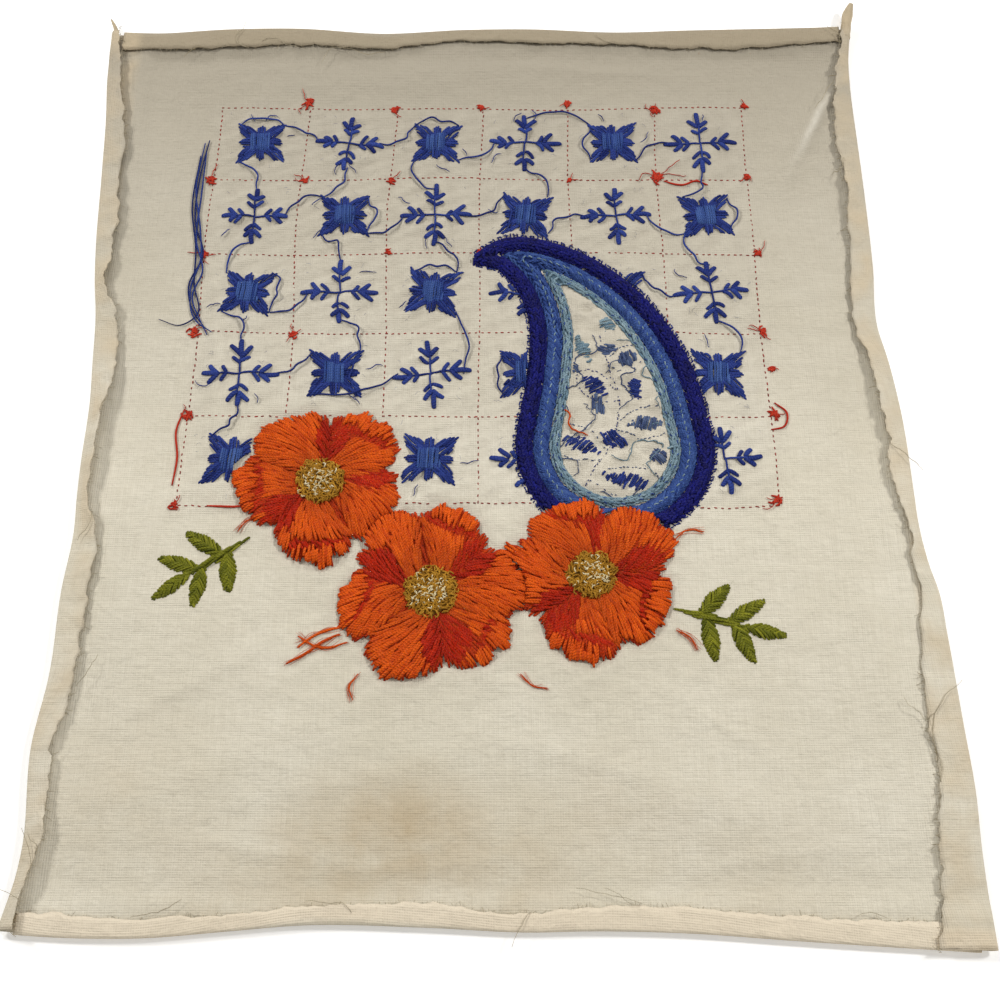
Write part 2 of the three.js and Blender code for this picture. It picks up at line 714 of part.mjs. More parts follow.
function addMotifs() {
  for (let row = 0; row < LATTICE.rows; row++) {
    for (let column = 0; column < LATTICE.columns; column++) {
      const x = LATTICE.left + LATTICE.cell * (column + 0.5);
      const y = LATTICE.far - LATTICE.cell * (row + 0.5);
      const kind = (row + column) % 2 === 0 ? "star" : "sprig";
      if (!isClear({ x, y })) continue;
      addMesh(`${kind}_${row + 1}_${column + 1}`, buildMotif({ x, y, kind }), COLOURS.blue, 0.8);
    }
  }
}

addLinen();
const petals = addBlossoms();
addDrop(petals);
addSprays(petals);
addMotifs();

export default picture;
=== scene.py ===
import math

import bpy
import numpy as np
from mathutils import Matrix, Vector


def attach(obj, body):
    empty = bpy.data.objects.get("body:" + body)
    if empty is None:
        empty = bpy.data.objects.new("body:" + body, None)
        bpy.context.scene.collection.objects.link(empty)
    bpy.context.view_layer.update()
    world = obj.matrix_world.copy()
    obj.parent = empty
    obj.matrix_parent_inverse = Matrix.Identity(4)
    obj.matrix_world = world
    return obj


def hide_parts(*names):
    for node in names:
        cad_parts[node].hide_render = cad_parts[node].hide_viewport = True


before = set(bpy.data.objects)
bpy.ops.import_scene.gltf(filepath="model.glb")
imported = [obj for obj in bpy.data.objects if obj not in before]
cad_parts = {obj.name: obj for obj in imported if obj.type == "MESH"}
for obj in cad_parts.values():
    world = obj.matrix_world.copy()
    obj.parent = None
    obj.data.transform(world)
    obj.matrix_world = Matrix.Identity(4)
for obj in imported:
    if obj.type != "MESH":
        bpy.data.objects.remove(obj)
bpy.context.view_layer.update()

MM = 0.001


def rows(columns, values):
    """A table as one array for each of its named columns"""
    return dict(zip(columns.split(), np.array(values, float).T))


# The linen, as in the CAD model
CLOTH = 0.5  # thickness
CLOTH_FLOOR = 0.05  # height of its underside above the table where it lies lowest
TURN, CORNER_TURN, CORNER_REACH = 1.0, 1.9, 26
TUCK = 5 / 440  # how far the hems' ends go under the side flaps, as a share of the width
HEM_ENDS = (-265, 255)  # about where the side folds go over the hems
HEM_RISE = 2.3
LEFT_SIDE = rows("y fold raw lift", [
    (256, -226, -221, 6), (222, -225, -217, 7), (190, -222, -210.5, 7), (150, -219.5, -208, 7),
    (94, -216, -206.5, 7), (76, -214, -207.5, 8), (60, -211.5, -201.5, 6), (27, -209, -195.5, 6),
    (5, -207.5, -199, 8), (-33, -207.5, -200.5, 8), (-52, -207, -201.5, 8),
    (-69, -206, -194.5, 6), (-102, -208, -195, 5), (-145, -208, -196, 4), (-179, -211.5, -201, 5),
    (-229, -209, -201, 7), (-243, -210.5, -204.5, 8), (-263, -214.5, -207, 8),
])
RIGHT_SIDE = rows("y fold raw lift", [
    (259, 221, 216.5, 6), (235, 217, 211, 6), (202, 215, 204.5, 7), (185, 215, 203, 5),
    (140, 215, 205, 6), (86, 214, 201.5, 5), (49, 212, 200, 5), (31, 215, 204, 6),
    (2, 218, 208, 7), (-48, 219, 210, 6), (-60, 219, 213, 6), (-85, 221.5, 214, 5),
    (-99, 224.5, 216, 4), (-120, 225.5, 212.5, 4), (-165, 227, 211, 3.6), (-195, 228, 211.5, 5),
    (-220, 227, 207.5, 5), (-247, 227, 205, 5), (-268, 227.5, 200.5, 5),
])
FAR_HEM = rows("x fold raw", [
    (-224, 255, 241), (-199, 254, 241), (-154, 257, 242.5), (-114, 257.5, 244.5),
    (-62, 253.5, 241.5), (-13, 256.5, 247.5), (24, 257, 246), (80, 254.5, 244.5),
    (119, 256, 241.5), (154, 257, 241.5), (188, 258, 245), (218, 259.5, 248),
])
NEAR_HEM = rows("x fold raw", [
    (-214, -265, -255.5), (-191, -266.5, -257), (-152, -267, -259), (-112, -264, -257),
    (-80, -261.5, -254), (-24, -262.5, -252.5), (22, -264.5, -257), (47, -264, -254),
    (94, -265, -254.5), (138, -268, -258), (186, -271, -260), (228, -273.5, -262),
])
SWELLS = rows("x y turn long wide high", [
    (184, 178, 60, 40, 13, 2.4), (-30, 222, 2, 120, 15, 1.6), (-184, 120, 96, 62, 14, 1.8),
    (-182, -60, 84, 60, 15, 2.0), (186, 40, 84, 60, 14, 2.2), (188, -120, 98, 54, 14, 1.8),
    (-120, -188, 22, 60, 20, 1.5), (100, -208, -18, 56, 18, 1.8),
])
SWELL_FLOOR = 0.05
REST_X, REST_Y = (-194, 199), (-244, 234)
LEVEL, LEVEL_SLOPE, RIM_RISE, RIM_REACH = 0.2, 1.2, 1.8, 12
SPIKE = rows("x y z r",
             [(-223.5, 251, 2.6, 1.5), (-224.8, 257.5, 3.2, 1.5), (-228, 264.6, 4.2, 0.5)])
TONGUE = rows("x y z r", [
    (217, 250, 3.4, 3), (217.8, 260, 4.4, 3.6), (219.6, 267, 6, 3.3), (221.6, 273, 8, 1.6),
])

# Creases and folds left in the cloth: soft ridges
CREASES = rows("x y turn long wide high", [
    (192, 186, 63, 34, 2.8, 2.4), (172, 196, 58, 22, 2.2, 0.5), (-150, 226, 8, 40, 3.0, 0.6),
    (60, 226, -4, 60, 3.5, 0.7), (-188, 60, 88, 50, 3.0, 0.6), (-176, -120, 80, 46, 3.6, 0.6),
    (186, -30, 92, 60, 3.4, 0.7), (176, -160, 100, 50, 3.6, 0.6), (-140, -150, 30, 44, 4.0, 0.7),
    (-60, -196, 12, 60, 4.5, 0.6), (40, -186, -14, 52, 4.0, 0.7), (120, -176, -34, 40, 3.6, 0.7),
    (-110, -228, -6, 50, 3.6, 0.6), (130, -232, 6, 60, 3.6, 0.6), (-20, -236, 3, 70, 3.0, 0.5),
    (-150, -40, 64, 30, 3.2, 0.7), (140, -60, 128, 30, 3.0, 0.6),
])

# Lattice of running stitch that holds the small motifs
LATTICE_LEFT, LATTICE_FAR, CELL, LATTICE_COLUMNS, LATTICE_ROWS = -156, 198, 51, 6, 5
CELLS = [(row, column) for row in range(LATTICE_ROWS) for column in range(LATTICE_COLUMNS)]

# The three blossoms; turn is in degrees
BLOSSOMS = [
    {"name": "left", "x": -84, "y": -44, "reach": 45, "petals": 5, "turn": 12},
    {"name": "middle", "x": -26, "y": -104, "reach": 48, "petals": 6, "turn": 40},
    {"name": "right", "x": 54, "y": -95, "reach": 45, "petals": 5, "turn": 75},
]
HEART_SHARE = 0.27
# Petals of each blossom in turn: slant of their stitches in degrees, share of the petal that is
# shaded, the side it is on, depth of the folded lip and where its middle is
PETALS = rows("slant shade side lip at", [
    (-18, 0.50, 1, 0.9, 0.2), (24, 0.35, -1, 0.0, 0), (-8, 0.75, 1, 1.0, -0.3),
    (16, 0.45, -1, 0.7, 0.3), (-26, 0.65, 1, 0.0, 0),
    (20, 0.60, -1, 0.8, 0.2), (-14, 0.85, 1, 0.0, 0), (28, 0.40, -1, 1.0, -0.2),
    (-22, 0.55, 1, 0.0, 0), (10, 0.90, -1, 0.8, 0.4), (-16, 0.45, 1, 0.0, 0),
    (14, 0.55, -1, 0.9, -0.3), (-24, 0.40, 1, 0.0, 0), (20, 0.70, -1, 0.8, 0.1),
    (-10, 0.50, 1, 1.0, 0.3), (26, 0.60, -1, 0.0, 0),
])

# Spine of the large curled drop, from its round head to its tip, and its bands
DROP = rows("x y r", [
    (68, -24, 52), (67, 14, 45), (58, 50, 34), (38, 80, 22), (14, 95, 12), (-6, 92, 3),
])
DROP_MIDDLE = (45, 20)
BORDER, MIDDLE_BAND, INNER_BAND = (0, 9), (9.8, 17), (18.2, 23.5)

# Green sprays: where the stem leaves a blossom, its direction, and its leaves
SPRAYS = [{"name": "upper", "x": -116, "y": -74, "turn": 214},
          {"name": "lower", "x": 92, "y": -112, "turn": -16}]
LEAVES = rows("along aside long wide", [
    (22, 0, 22, 2.2), (15, 62, 13, 4.6), (18, -66, 13.5, 4.6),
    (29, 48, 13, 4.2), (32, -50, 12.5, 4.4), (38, 4, 12, 4),
])
LEAF_JOIN = 2.6

# Two dyes of each thread, dark and light, as sRGB
DYES = {
    "orange": ((198, 66, 4), (236, 98, 14)),
    "deep_orange": ((172, 44, 4), (202, 62, 8)),
    "red": ((160, 20, 0), (198, 42, 4)),
    "gold": ((146, 100, 18), (208, 154, 50)),
    "cream": ((226, 204, 148), (248, 236, 200)),
    "green": ((84, 90, 12), (144, 144, 36)),
    "navy": ((6, 8, 74), (20, 26, 122)),
    "blue": ((20, 36, 104), (48, 70, 150)),
    "mid_blue": ((32, 58, 128), (74, 104, 168)),
    "pale_blue": ((96, 126, 146), (150, 174, 184)),
    "slate": ((60, 76, 120), (104, 122, 156)),
    "red_cotton": ((176, 36, 20), (216, 66, 40)),
    "lattice": ((124, 26, 22), (180, 50, 38)),
    "flax": ((168, 152, 118), (216, 206, 180)),
}


def linear(colour):
    """An sRGB colour, or several, as linear values"""
    share = np.array(colour, float) / 255
    return np.where(share < 0.04045, share / 12.92, ((share + 0.055) / 1.055) ** 2.4)


def dye(name, count, draw):
    """One colour for each of a number of threads, between a dye's dark and light"""
    dark, light = linear(DYES[name][0]), linear(DYES[name][1])
    share = np.clip(draw.normal(0.5, 0.24, count), 0, 1)[:, None]
    return dark + (light - dark) * share


def along(table, key, column):
    """A table's column as a smooth curve over its key column"""
    order = np.argsort(table[key])
    place, value = table[key][order], table[column][order]
    slope = np.gradient(value, place)

    def curve(at):
        at = np.clip(at, place[0], place[-1])
        low = np.clip(np.searchsorted(place, at) - 1, 0, len(place) - 2)
        width = place[low + 1] - place[low]
        t = (at - place[low]) / width
        left = (1 + 2 * t) * (1 - t) ** 2 * value[low] + t * (1 - t) ** 2 * width * slope[low]
        right = t * t * (3 - 2 * t) * value[low + 1] - t * t * (1 - t) * width * slope[low + 1]
        return left + right

    return curve


def smoothstep(value, low, high):
    share = np.clip((value - low) / (high - low), 0, 1)
    return share * share * (3 - 2 * share)


def lerp(low, high, share):
    return low + (high - low) * share


def unit(angles):
    """Flat unit vectors along angles in radians"""
    return np.stack([np.cos(angles), np.sin(angles)], -1)


def direction(turn):
    """The flat unit vector along one angle in radians"""
    return np.array([math.cos(turn), math.sin(turn)])


def with_height(flat, high):
    """Flat points and their heights as points in space"""
    return np.concatenate([flat, high[..., None]], -1)


def run_along(points):
    """How far along a polyline each of its points lies"""
    return np.concatenate([[0], np.cumsum(np.linalg.norm(np.diff(points, axis=0), axis=1))])


def points_at(points, run, at):
    """Points of a polyline at distances along it"""
    return np.stack([np.interp(at, run, column) for column in points.T], -1)


def wander_steps(heading, jitter, count, draw):
    """Unit steps of a thread that wanders off its heading"""
    return unit(heading + np.cumsum(draw.normal(0, jitter, count)))


def lifted(surface, lift):
    """A surface moved up"""
    return lambda x, y: surface(x, y) + lift


def records(table):
    """A table's rows, each as a tuple in the order of its columns"""
    return list(zip(*table.values()))


def waves(seed, length, count=7):
    """Seeded smooth unevenness of about that wave length, mostly from -1 to 1"""
    draw = np.random.default_rng(seed)
    turn = draw.uniform(0, 2 * np.pi, count)
    pitch = 2 * np.pi / (length * draw.uniform(0.6, 1.6, count))
    shift = draw.uniform(0, 2 * np.pi, count)

    def field(x, y):
        total = 0
        for one_turn, one_pitch, one_shift in zip(turn, pitch, shift):
            forward = x * np.cos(one_turn) + y * np.sin(one_turn)
            total = total + np.sin(forward * one_pitch + one_shift)
        return total / math.sqrt(count)

    return field


def edge_curves(table):
    """Every other column of an edge's table as a curve over its first"""
    key, *columns = table
    return [along(table, key, column) for column in columns]


left_fold, left_raw, left_lift = edge_curves(LEFT_SIDE)
right_fold, right_raw, right_lift = edge_curves(RIGHT_SIDE)
far_fold, far_raw = edge_curves(FAR_HEM)
near_fold, near_raw = edge_curves(NEAR_HEM)


def ridge(row, x, y):
    """Share of a soft ridge's height at a point; the row says where it lies"""
    middle_x, middle_y, turn, long, wide, _ = row
    turn = math.radians(turn)
    dx, dy = x - middle_x, y - middle_y
    forward = (dx * math.cos(turn) + dy * math.sin(turn)) / long
    aside = (dy * math.cos(turn) - dx * math.sin(turn)) / wide
    return np.exp(-forward ** 2 - aside ** 2)


def swell(x, y):
    """How far the CAD sheet's underside lies above the table"""
    lift = 0
    for row in records(SWELLS):
        lift = lift + row[-1] * np.maximum(0, ridge(row, x, y) - SWELL_FLOOR)
    out_x = np.maximum(np.maximum(REST_X[0] - x, x - REST_X[1]), 0)
    out_y = np.maximum(np.maximum(REST_Y[0] - y, y - REST_Y[1]), 0)
    across = 2 * np.clip((x - REST_X[0]) / (REST_X[1] - REST_X[0]), 0, 1) - 1
    lengthwise = 2 * np.clip((y - REST_Y[0]) / (REST_Y[1] - REST_Y[0]), 0, 1) - 1
    level = np.minimum(LEVEL_SLOPE * (1 - (across * lengthwise) ** 2), LEVEL)
    return lift + level + RIM_RISE * smoothstep(np.hypot(out_x, out_y), 0, RIM_REACH)


def blossom_polar(blossom, x, y):
    """Distance as a share of a blossom's reach, angle, and depth of the petal's crown there"""
    dx, dy = x - blossom["x"], y - blossom["y"]
    angle = np.arctan2(dy, dx)
    wave = np.sqrt(np.abs(np.sin(blossom["petals"] * (angle - math.radians(blossom["turn"])) / 2)))
    uneven = 1 + 0.06 * np.sin(3 * angle + blossom["turn"])
    reach = blossom["reach"] * uneven * (1 - 0.2 * (1 - wave))
    return np.hypot(dx, dy) / reach, angle, wave


def build_spine():
    """Stations along the drop's spine: places, radii and headings"""
    knots = np.stack([DROP["x"], DROP["y"], DROP["r"]], 1)
    gaps = np.sqrt(np.linalg.norm(np.diff(knots, axis=0), axis=1))
    table = dict(DROP, t=np.concatenate([[0], np.cumsum(gaps)]))
    t = np.linspace(0, table["t"][-1], 161)
    points = np.stack([along(table, "t", column)(t) for column in ("x", "y", "r")], 1)
    heading = np.arctan2(np.gradient(points[:, 1]), np.gradient(points[:, 0]))
    return points, heading


SPINE, HEADING = build_spine()


def drop_depth(x, y):
    """How deep a point lies inside the drop; negative outside it"""
    depth = np.full(np.shape(x), -1e3)
    for station_x, station_y, radius in SPINE[::2]:
        depth = np.maximum(depth, radius - np.hypot(x - station_x, y - station_y))
    return depth


def drop_outline(margin, share):
    """The drop's outline moved inwards by a margin, at shares of the way round"""
    wide = np.nonzero(SPINE[:, 2] > margin + 1)[0][-1]
    first, second = 0.42, 0.84
    station = np.where(share < first, share / first, np.clip((second - share) / first, 0, 1)) * wide
    low = np.clip(station.astype(int), 0, len(SPINE) - 2)
    part = station - low
    centre = SPINE[low] + (SPINE[low + 1] - SPINE[low]) * part[..., None]
    unrolled = np.unwrap(HEADING)
    heading = unrolled[low] + (unrolled[low + 1] - unrolled[low]) * part
    head = np.pi / 2 + np.pi * (share - second) / (1 - second)
    angle = heading + np.where(share < first, -np.pi / 2, np.where(share < second, np.pi / 2, head))
    radius = np.maximum(centre[..., 2] - margin, 0.4)
    return centre[..., :2] + radius[..., None] * unit(angle)


def drop_contour(depth, share):
    """Points at shares of the way round the drop, moved onto the line at that depth"""
    points = drop_outline(depth, share)
    step = 0.05
    for _ in range(4):
        here = drop_depth(points[:, 0], points[:, 1])
        slope_x = (drop_depth(points[:, 0] + step, points[:, 1]) - here) / step
        slope_y = (drop_depth(points[:, 0], points[:, 1] + step) - here) / step
        slope = np.stack([slope_x, slope_y], -1)
        size = np.maximum((slope ** 2).sum(1, keepdims=True), 0.3)
        points = points + np.clip(depth - here, -3, 3)[:, None] * slope / size
    return points


def spray_leaves(spray):
    """A spray's stem and leaves: middle, direction, half length and half width"""
    leaves = []
    stemway = math.radians(spray["turn"])
    for distance, aside, long, wide in records(LEAVES):
        leafway = stemway + math.radians(aside)
        on_stem = 0 if aside == 0 else long - LEAF_JOIN
        x = spray["x"] + distance * math.cos(stemway) + on_stem * math.cos(leafway)
        y = spray["y"] + distance * math.sin(stemway) + on_stem * math.sin(leafway)
        leaves.append((x, y, leafway, long, wide))
    return leaves


def leaf_share(leaf, x, y):
    """0 in the middle of a leaf and 1 at its edge"""
    middle_x, middle_y, turn, long, wide = leaf
    dx, dy = x - middle_x, y - middle_y
    forward = np.abs(dx * math.cos(turn) + dy * math.sin(turn)) / long
    aside = np.abs(dy * math.cos(turn) - dx * math.sin(turn)) / wide
    return (forward ** 1.35 + aside ** 1.35) ** (1 / 1.35)


ALL_LEAVES = [leaf for spray in SPRAYS for leaf in spray_leaves(spray)]


def on_blossom(x, y, edge=1.0):
    return np.any([blossom_polar(blossom, x, y)[0] < edge for blossom in BLOSSOMS], axis=0)


def is_covered(x, y, margin=1.0):
    """Whether the blossoms, the drop or the leaves cover a point"""
    leaves = np.any([leaf_share(leaf, x, y) < 1.15 for leaf in ALL_LEAVES], axis=0)
    return on_blossom(x, y, 1.02) | (drop_depth(x, y) > -margin) | leaves


ripple, tile_puff, crumple = waves(3, 60), waves(5, 11), waves(7, 16)
fine_crumple, pull, broad = waves(8, 8), waves(9, 30), waves(10, 90)


def pucker(x, y):
    """Height of the cloth's small unevenness above its broad swells"""
    lift = 0.26 * (1 + ripple(x * 0.3, y)) + 0.3 * (1 + broad(x, y))
    fx, fy = (x - LATTICE_LEFT) / CELL, (LATTICE_FAR - y) / CELL
    inside = (fx > 0) & (fx < LATTICE_COLUMNS) & (fy > 0) & (fy < LATTICE_ROWS)
    tile = np.sqrt(np.abs(np.sin(np.pi * fx) * np.sin(np.pi * fy)))
    lift = lift + inside * tile * (0.8 + 0.7 * tile_puff(x, y))
    depth = drop_depth(x, y)
    hollow = smoothstep(depth, 22, 27)
    lift = lift + hollow * (1.5 * np.abs(crumple(x, y)) + 0.9 * np.abs(fine_crumple(x, y)))
    near = np.exp(-np.maximum(-depth, 0) / 12) * (depth < 0)
    lift = lift + near * 0.8 * np.abs(tile_puff(x * 1.3, y * 1.3))
    for blossom in BLOSSOMS:
        share, angle, _ = blossom_polar(blossom, x, y)
        away = np.maximum(share - 1, 0) * blossom["reach"]
        rays = np.abs(np.sin(9 * angle + 1.3 * pull(x, y)))
        lift = lift + np.exp(-away / 17) * (share > 1) * smoothstep(away, 0, 4) * rays * 1.2
    for row in records(CREASES):
        lift = lift + row[-1] * ridge(row, x, y + 1.2 * pull(x, y))
    lift = lift * (1 - smoothstep(depth, -1.6, 1) * (1 - smoothstep(depth, 22, 25)))
    for blossom in BLOSSOMS:
        lift = lift * smoothstep(blossom_polar(blossom, x, y)[0], 0.88, 1.02)
    from_left, from_right = x - left_fold(y), right_fold(y) - x
    from_near, from_far = y - near_fold(x), far_fold(x) - y
    inward = np.minimum(np.minimum(from_left, from_right), np.minimum(from_near, from_far))
    return np.maximum(lift, 0) * smoothstep(inward, 1, 16)


def cloth(x, y):
    """Height of the linen's upper surface"""
    return CLOTH_FLOOR + CLOTH + swell(x, y) + pucker(x, y)


# Mesh parts are tuples of vertices, quads, UVs of the quads' corners, and vertex colours


def shell(front, back, kept, flat, colour=(1, 1, 1)):
    """A closed sheet between two grids of points, over the cells whose corners are all kept"""
    cells = kept[:-1, :-1] & kept[1:, :-1] & kept[:-1, 1:] & kept[1:, 1:]
    i, j = np.nonzero(cells)
    used = np.zeros(kept.shape, bool)
    for di, dj in ((0, 0), (1, 0), (1, 1), (0, 1)):
        used[i + di, j + dj] = True
    count = int(used.sum())
    number = np.full(kept.shape, -1)
    number[used] = np.arange(count)
    corners = np.stack([number[i, j], number[i + 1, j], number[i + 1, j + 1], number[i, j + 1]], 1)
    quads = [corners, corners[:, ::-1] + count]
    padded = np.pad(cells, 1)
    for (di, dj), (p, q) in (((0, -1), (0, 1)), ((1, 0), (1, 2)), ((0, 1), (2, 3)),
                             ((-1, 0), (3, 0))):
        rim = ~padded[i + 1 + di, j + 1 + dj]
        start, stop = corners[rim, p], corners[rim, q]
        quads.append(np.stack([stop, start, start + count, stop + count], 1))
    quads = np.concatenate(quads)
    uv = np.concatenate([flat[used], flat[used]])
    if np.ndim(colour) == 3:
        colours = np.concatenate([colour[used], colour[used]])
    else:
        colours = np.broadcast_to(np.array(colour, float), (2 * count, 3))
    return np.concatenate([front[used], back[used]]), quads, uv[quads.ravel()], colours


def grid_normals(middle, kept):
    """Unit normals of a grid of points"""
    cells = kept[:-1, :-1] & kept[1:, :-1] & kept[:-1, 1:] & kept[1:, 1:]
    filled = np.where(kept[..., None], middle, 0)
    diagonal = filled[1:, 1:] - filled[:-1, :-1]
    other = filled[:-1, 1:] - filled[1:, :-1]
    face = np.cross(diagonal, other) * cells[..., None]
    normal = np.zeros_like(middle)
    for di in (0, 1):
        for dj in (0, 1):
            normal[di:normal.shape[0] - 1 + di, dj:normal.shape[1] - 1 + dj] += face
    return normal / np.maximum(np.linalg.norm(normal, axis=-1, keepdims=True), 1e-9)


def tubes(centres, wide, high, colours, sides=6, ends=0.4):
    """Closed tubes through rows of points (n, steps, 3), of a half width and half height"""
    count, steps, _ = centres.shape
    way = np.gradient(centres, axis=1)
    level = way + 0.02 * (centres[:, -1:] - centres[:, :1])
    aside = np.stack([level[..., 1], -level[..., 0], np.zeros((count, steps))], -1)
    aside /= np.linalg.norm(aside, axis=-1, keepdims=True) + 1e-9
    upward = np.cross(aside, way)
    upward /= np.linalg.norm(upward, axis=-1, keepdims=True) + 1e-9
    share = np.linspace(0, 1, steps)
    taper = ends + (1 - ends) * np.sin(np.pi * np.clip(share, 0.02, 0.98)) ** 0.4
    wide = np.broadcast_to(np.reshape(wide, (-1, 1)), (count, 1)) * taper
    high = np.broadcast_to(np.reshape(high, (-1, 1)), (count, 1)) * taper
    turn = 2 * np.pi * (np.arange(sides) + 0.5) / sides
    ring = centres[:, :, None] + aside[:, :, None] * (wide[..., None] * np.cos(turn))[..., None]
    ring = ring + upward[:, :, None] * (high[..., None] * np.sin(turn))[..., None]
    start = np.arange(count)[:, None, None] * steps * sides
    step = np.arange(steps - 1)[None, :, None] * sides
    here = start + step + np.arange(sides)[None, None]
    after = start + step + (np.arange(sides)[None, None] + 1) % sides
    walls = np.stack([here, here + sides, after + sides, after], -1).reshape(-1, 4)
    gaps = np.linalg.norm(np.diff(centres, axis=1), axis=-1)
    run = np.concatenate([np.zeros((count, 1)), np.cumsum(gaps, axis=1)], axis=1)
    near = np.broadcast_to(run[:, :-1, None], here.shape)
    far = np.broadcast_to(run[:, 1:, None], here.shape)
    low = np.broadcast_to(np.arange(sides) / sides, here.shape)
    high_v = low + 1 / sides
    wall_uv = np.stack([near, low, far, low, far, high_v, near, high_v], -1).reshape(-1, 2)
    cap = [(0, 1, 2, 3)] if sides == 4 else [(0, 1, 2, 3), (0, 3, 4, 5)]
    first = np.array(cap)[None] + start
    last = np.array([corners[::-1] for corners in cap])[None] + start + (steps - 1) * sides
    caps = np.concatenate([first.reshape(-1, 4), last.reshape(-1, 4)])
    quads = np.concatenate([walls, caps])
    uv = np.concatenate([wall_uv, np.zeros((caps.size, 2))])
    tint = np.repeat(np.asarray(colours, float), steps * sides, axis=0)
    return ring.reshape(-1, 3), quads, uv, tint


def lay(start, stop, surface, steps=8, dip=0.6, bow=None, dive=4):
    """Centre lines of stitches between points on a surface, whose ends sink into the work"""
    share = (1 - np.cos(np.pi * np.linspace(0, 1, steps))) / 2
    flat = start[:, None] + (stop - start)[:, None] * share[None, :, None]
    if bow is not None:
        across = np.stack([start[:, 1] - stop[:, 1], stop[:, 0] - start[:, 0]], -1)
        across /= np.linalg.norm(across, axis=-1, keepdims=True) + 1e-9
        flat = flat + across[:, None] * (bow[:, None] * np.sin(np.pi * share))[..., None]
    high = surface(flat[..., 0], flat[..., 1]) - dip * np.abs(2 * share - 1) ** dive
    return with_height(flat, high)


def parallel(region, middle, reach, turn, pitch, longest, draw, shortest=1.8):
    """End points of parallel stitches that fill a region; turn is in radians"""
    way = direction(turn)
    side = np.array([-way[1], way[0]])
    step = 0.4
    steps = np.arange(-reach, reach, step)
    offsets = np.arange(-reach, reach, pitch)
    offsets = offsets + draw.normal(0, pitch * 0.08, len(offsets))
    lines = np.array(middle) + offsets[:, None, None] * side + steps[None, :, None] * way
    inside = region(lines[..., 0], lines[..., 1])
    starts, stops = [], []
    for line, kept in zip(lines, inside):
        edges = np.flatnonzero(np.diff(np.concatenate([[0], kept.astype(int), [0]])))
        for low, high in zip(edges[::2], edges[1::2] - 1):
            length = (high - low) * step
            if length < shortest:
                continue
            pieces = max(1, int(round(length / longest + draw.uniform(-0.3, 0.3))))
            cuts = np.linspace(low, high, pieces + 1)
            cuts[1:-1] += draw.uniform(-0.28, 0.28, pieces - 1) * length / pieces / step
            for begin, end in zip(cuts[:-1], cuts[1:]):
                starts.append(line[0] + way * step * (begin - draw.uniform(0, 1.6)))
                stops.append(line[0] + way * step * (end + draw.uniform(0, 1.6)))
    return np.array(starts).reshape(-1, 2), np.array(stops).reshape(-1, 2)


def fill(region, middle, reach, turn, pitch, longest, surface, shade, draw, high=0.5, dip=0.7):
    """Satin stitch over a region, as one mesh part"""
    start, stop = parallel(region, middle, reach, turn, pitch, longest, draw)
    if not len(start):
        return []
    jitter = draw.normal(0, 0.07, len(start))
    raised = lay(start, stop, surface, steps=6, dip=dip, bow=draw.normal(0, 0.25, len(start)))
    raised[..., 2] += jitter[:, None]
    return [tubes(raised, pitch * 0.62, high, dye(shade, len(start), draw))]


def fan(region, blossom, slant, pitch, length, surface, shade, draw, painted_shading, steps=5, sides=6,
        wide=0.6):
    """Long and short stitches that spread from a blossom's heart, at a slant to its rays"""
    gap, dip = 4.3, 0.3
    places, turns = [], []
    for radius in np.arange(0.2, 1.14, gap / blossom["reach"]) * blossom["reach"]:
        count = int(2 * np.pi * radius / pitch)
        angle = (np.arange(count) + draw.uniform(-0.15, 0.15, count)) * 2 * np.pi / count
        angle = angle + draw.uniform(0, 1)
        away = radius + draw.uniform(-0.5, 0.5, count) * gap
        places.append(unit(angle) * away[:, None])
        turns.append(angle + slant + draw.normal(0, 0.05, count))
    places = np.concatenate(places) + np.array([blossom["x"], blossom["y"]])
    turns = np.concatenate(turns)
    lengths = length * draw.uniform(0.36, 0.62, len(turns))
    half = unit(turns) * lengths[:, None]
    reached = np.zeros(len(places))
    open_way = region(*places.T)
    for share in (0.2, 0.4, 0.55, 0.7, 0.85, 1.0):
        open_way = open_way & region(*(places + share * half).T)
        reached = np.where(open_way, share, reached)
    kept = (reached > 0) & region(*(places - 0.3 * half).T)
    reached = np.where(reached < 1, reached + draw.uniform(0, 0.2, len(reached)), reached)
    start, stop = (places - half)[kept], (places + reached[:, None] * half)[kept]
    if not len(start):
        return []
    raised = lay(start, stop, surface, steps=steps, dip=dip, bow=draw.normal(0, 0.22, len(start)))
    raised[..., 2] += draw.normal(0, 0.06, len(start))[:, None]
    # painted shading from the caller: darker towards a blossom's heart and at its petals' sides
    colours = dye(shade, len(start), draw) * painted_shading(*((start + stop) / 2).T)[:, None]
    return [tubes(raised, pitch * wide, 0.5, colours, sides=sides)]


def short_stitches(places, turns, lengths, surface, shade, draw, wide=0.5, high=0.35, steps=5,
                   dip=0.5, bow=0.0, sides=4):
    """Separate stitches round their middles"""
    half = unit(turns) * (np.asarray(lengths) / 2)[:, None]
    bows = draw.normal(0, 1, len(places)) * bow
    centres = lay(places - half, places + half, surface, steps=steps, dip=dip, bow=bows, dive=3)
    return tubes(centres, wide, high, dye(shade, len(places), draw), sides=sides)


def curve(points, count, surface, lift=0.0):
    """A smooth thread through given points, resampled evenly and laid on a surface"""
    points = np.array(points, float)
    table = {"t": run_along(points), "x": points[:, 0], "y": points[:, 1]}
    t = np.linspace(0, table["t"][-1], count)
    x, y = along(table, "t", "x")(t), along(table, "t", "y")(t)
    return np.stack([x, y, surface(x, y) + lift], -1)[None]


def join(parts):
    """Several mesh parts as one"""
    verts, quads, uvs, colours, start = [], [], [], [], 0
    for part_verts, part_quads, part_uv, part_colours in parts:
        verts.append(part_verts)
        quads.append(part_quads + start)
        uvs.append(part_uv)
        colours.append(part_colours)
        start += len(part_verts)
    return tuple(np.concatenate(arrays) for arrays in (verts, quads, uvs, colours))


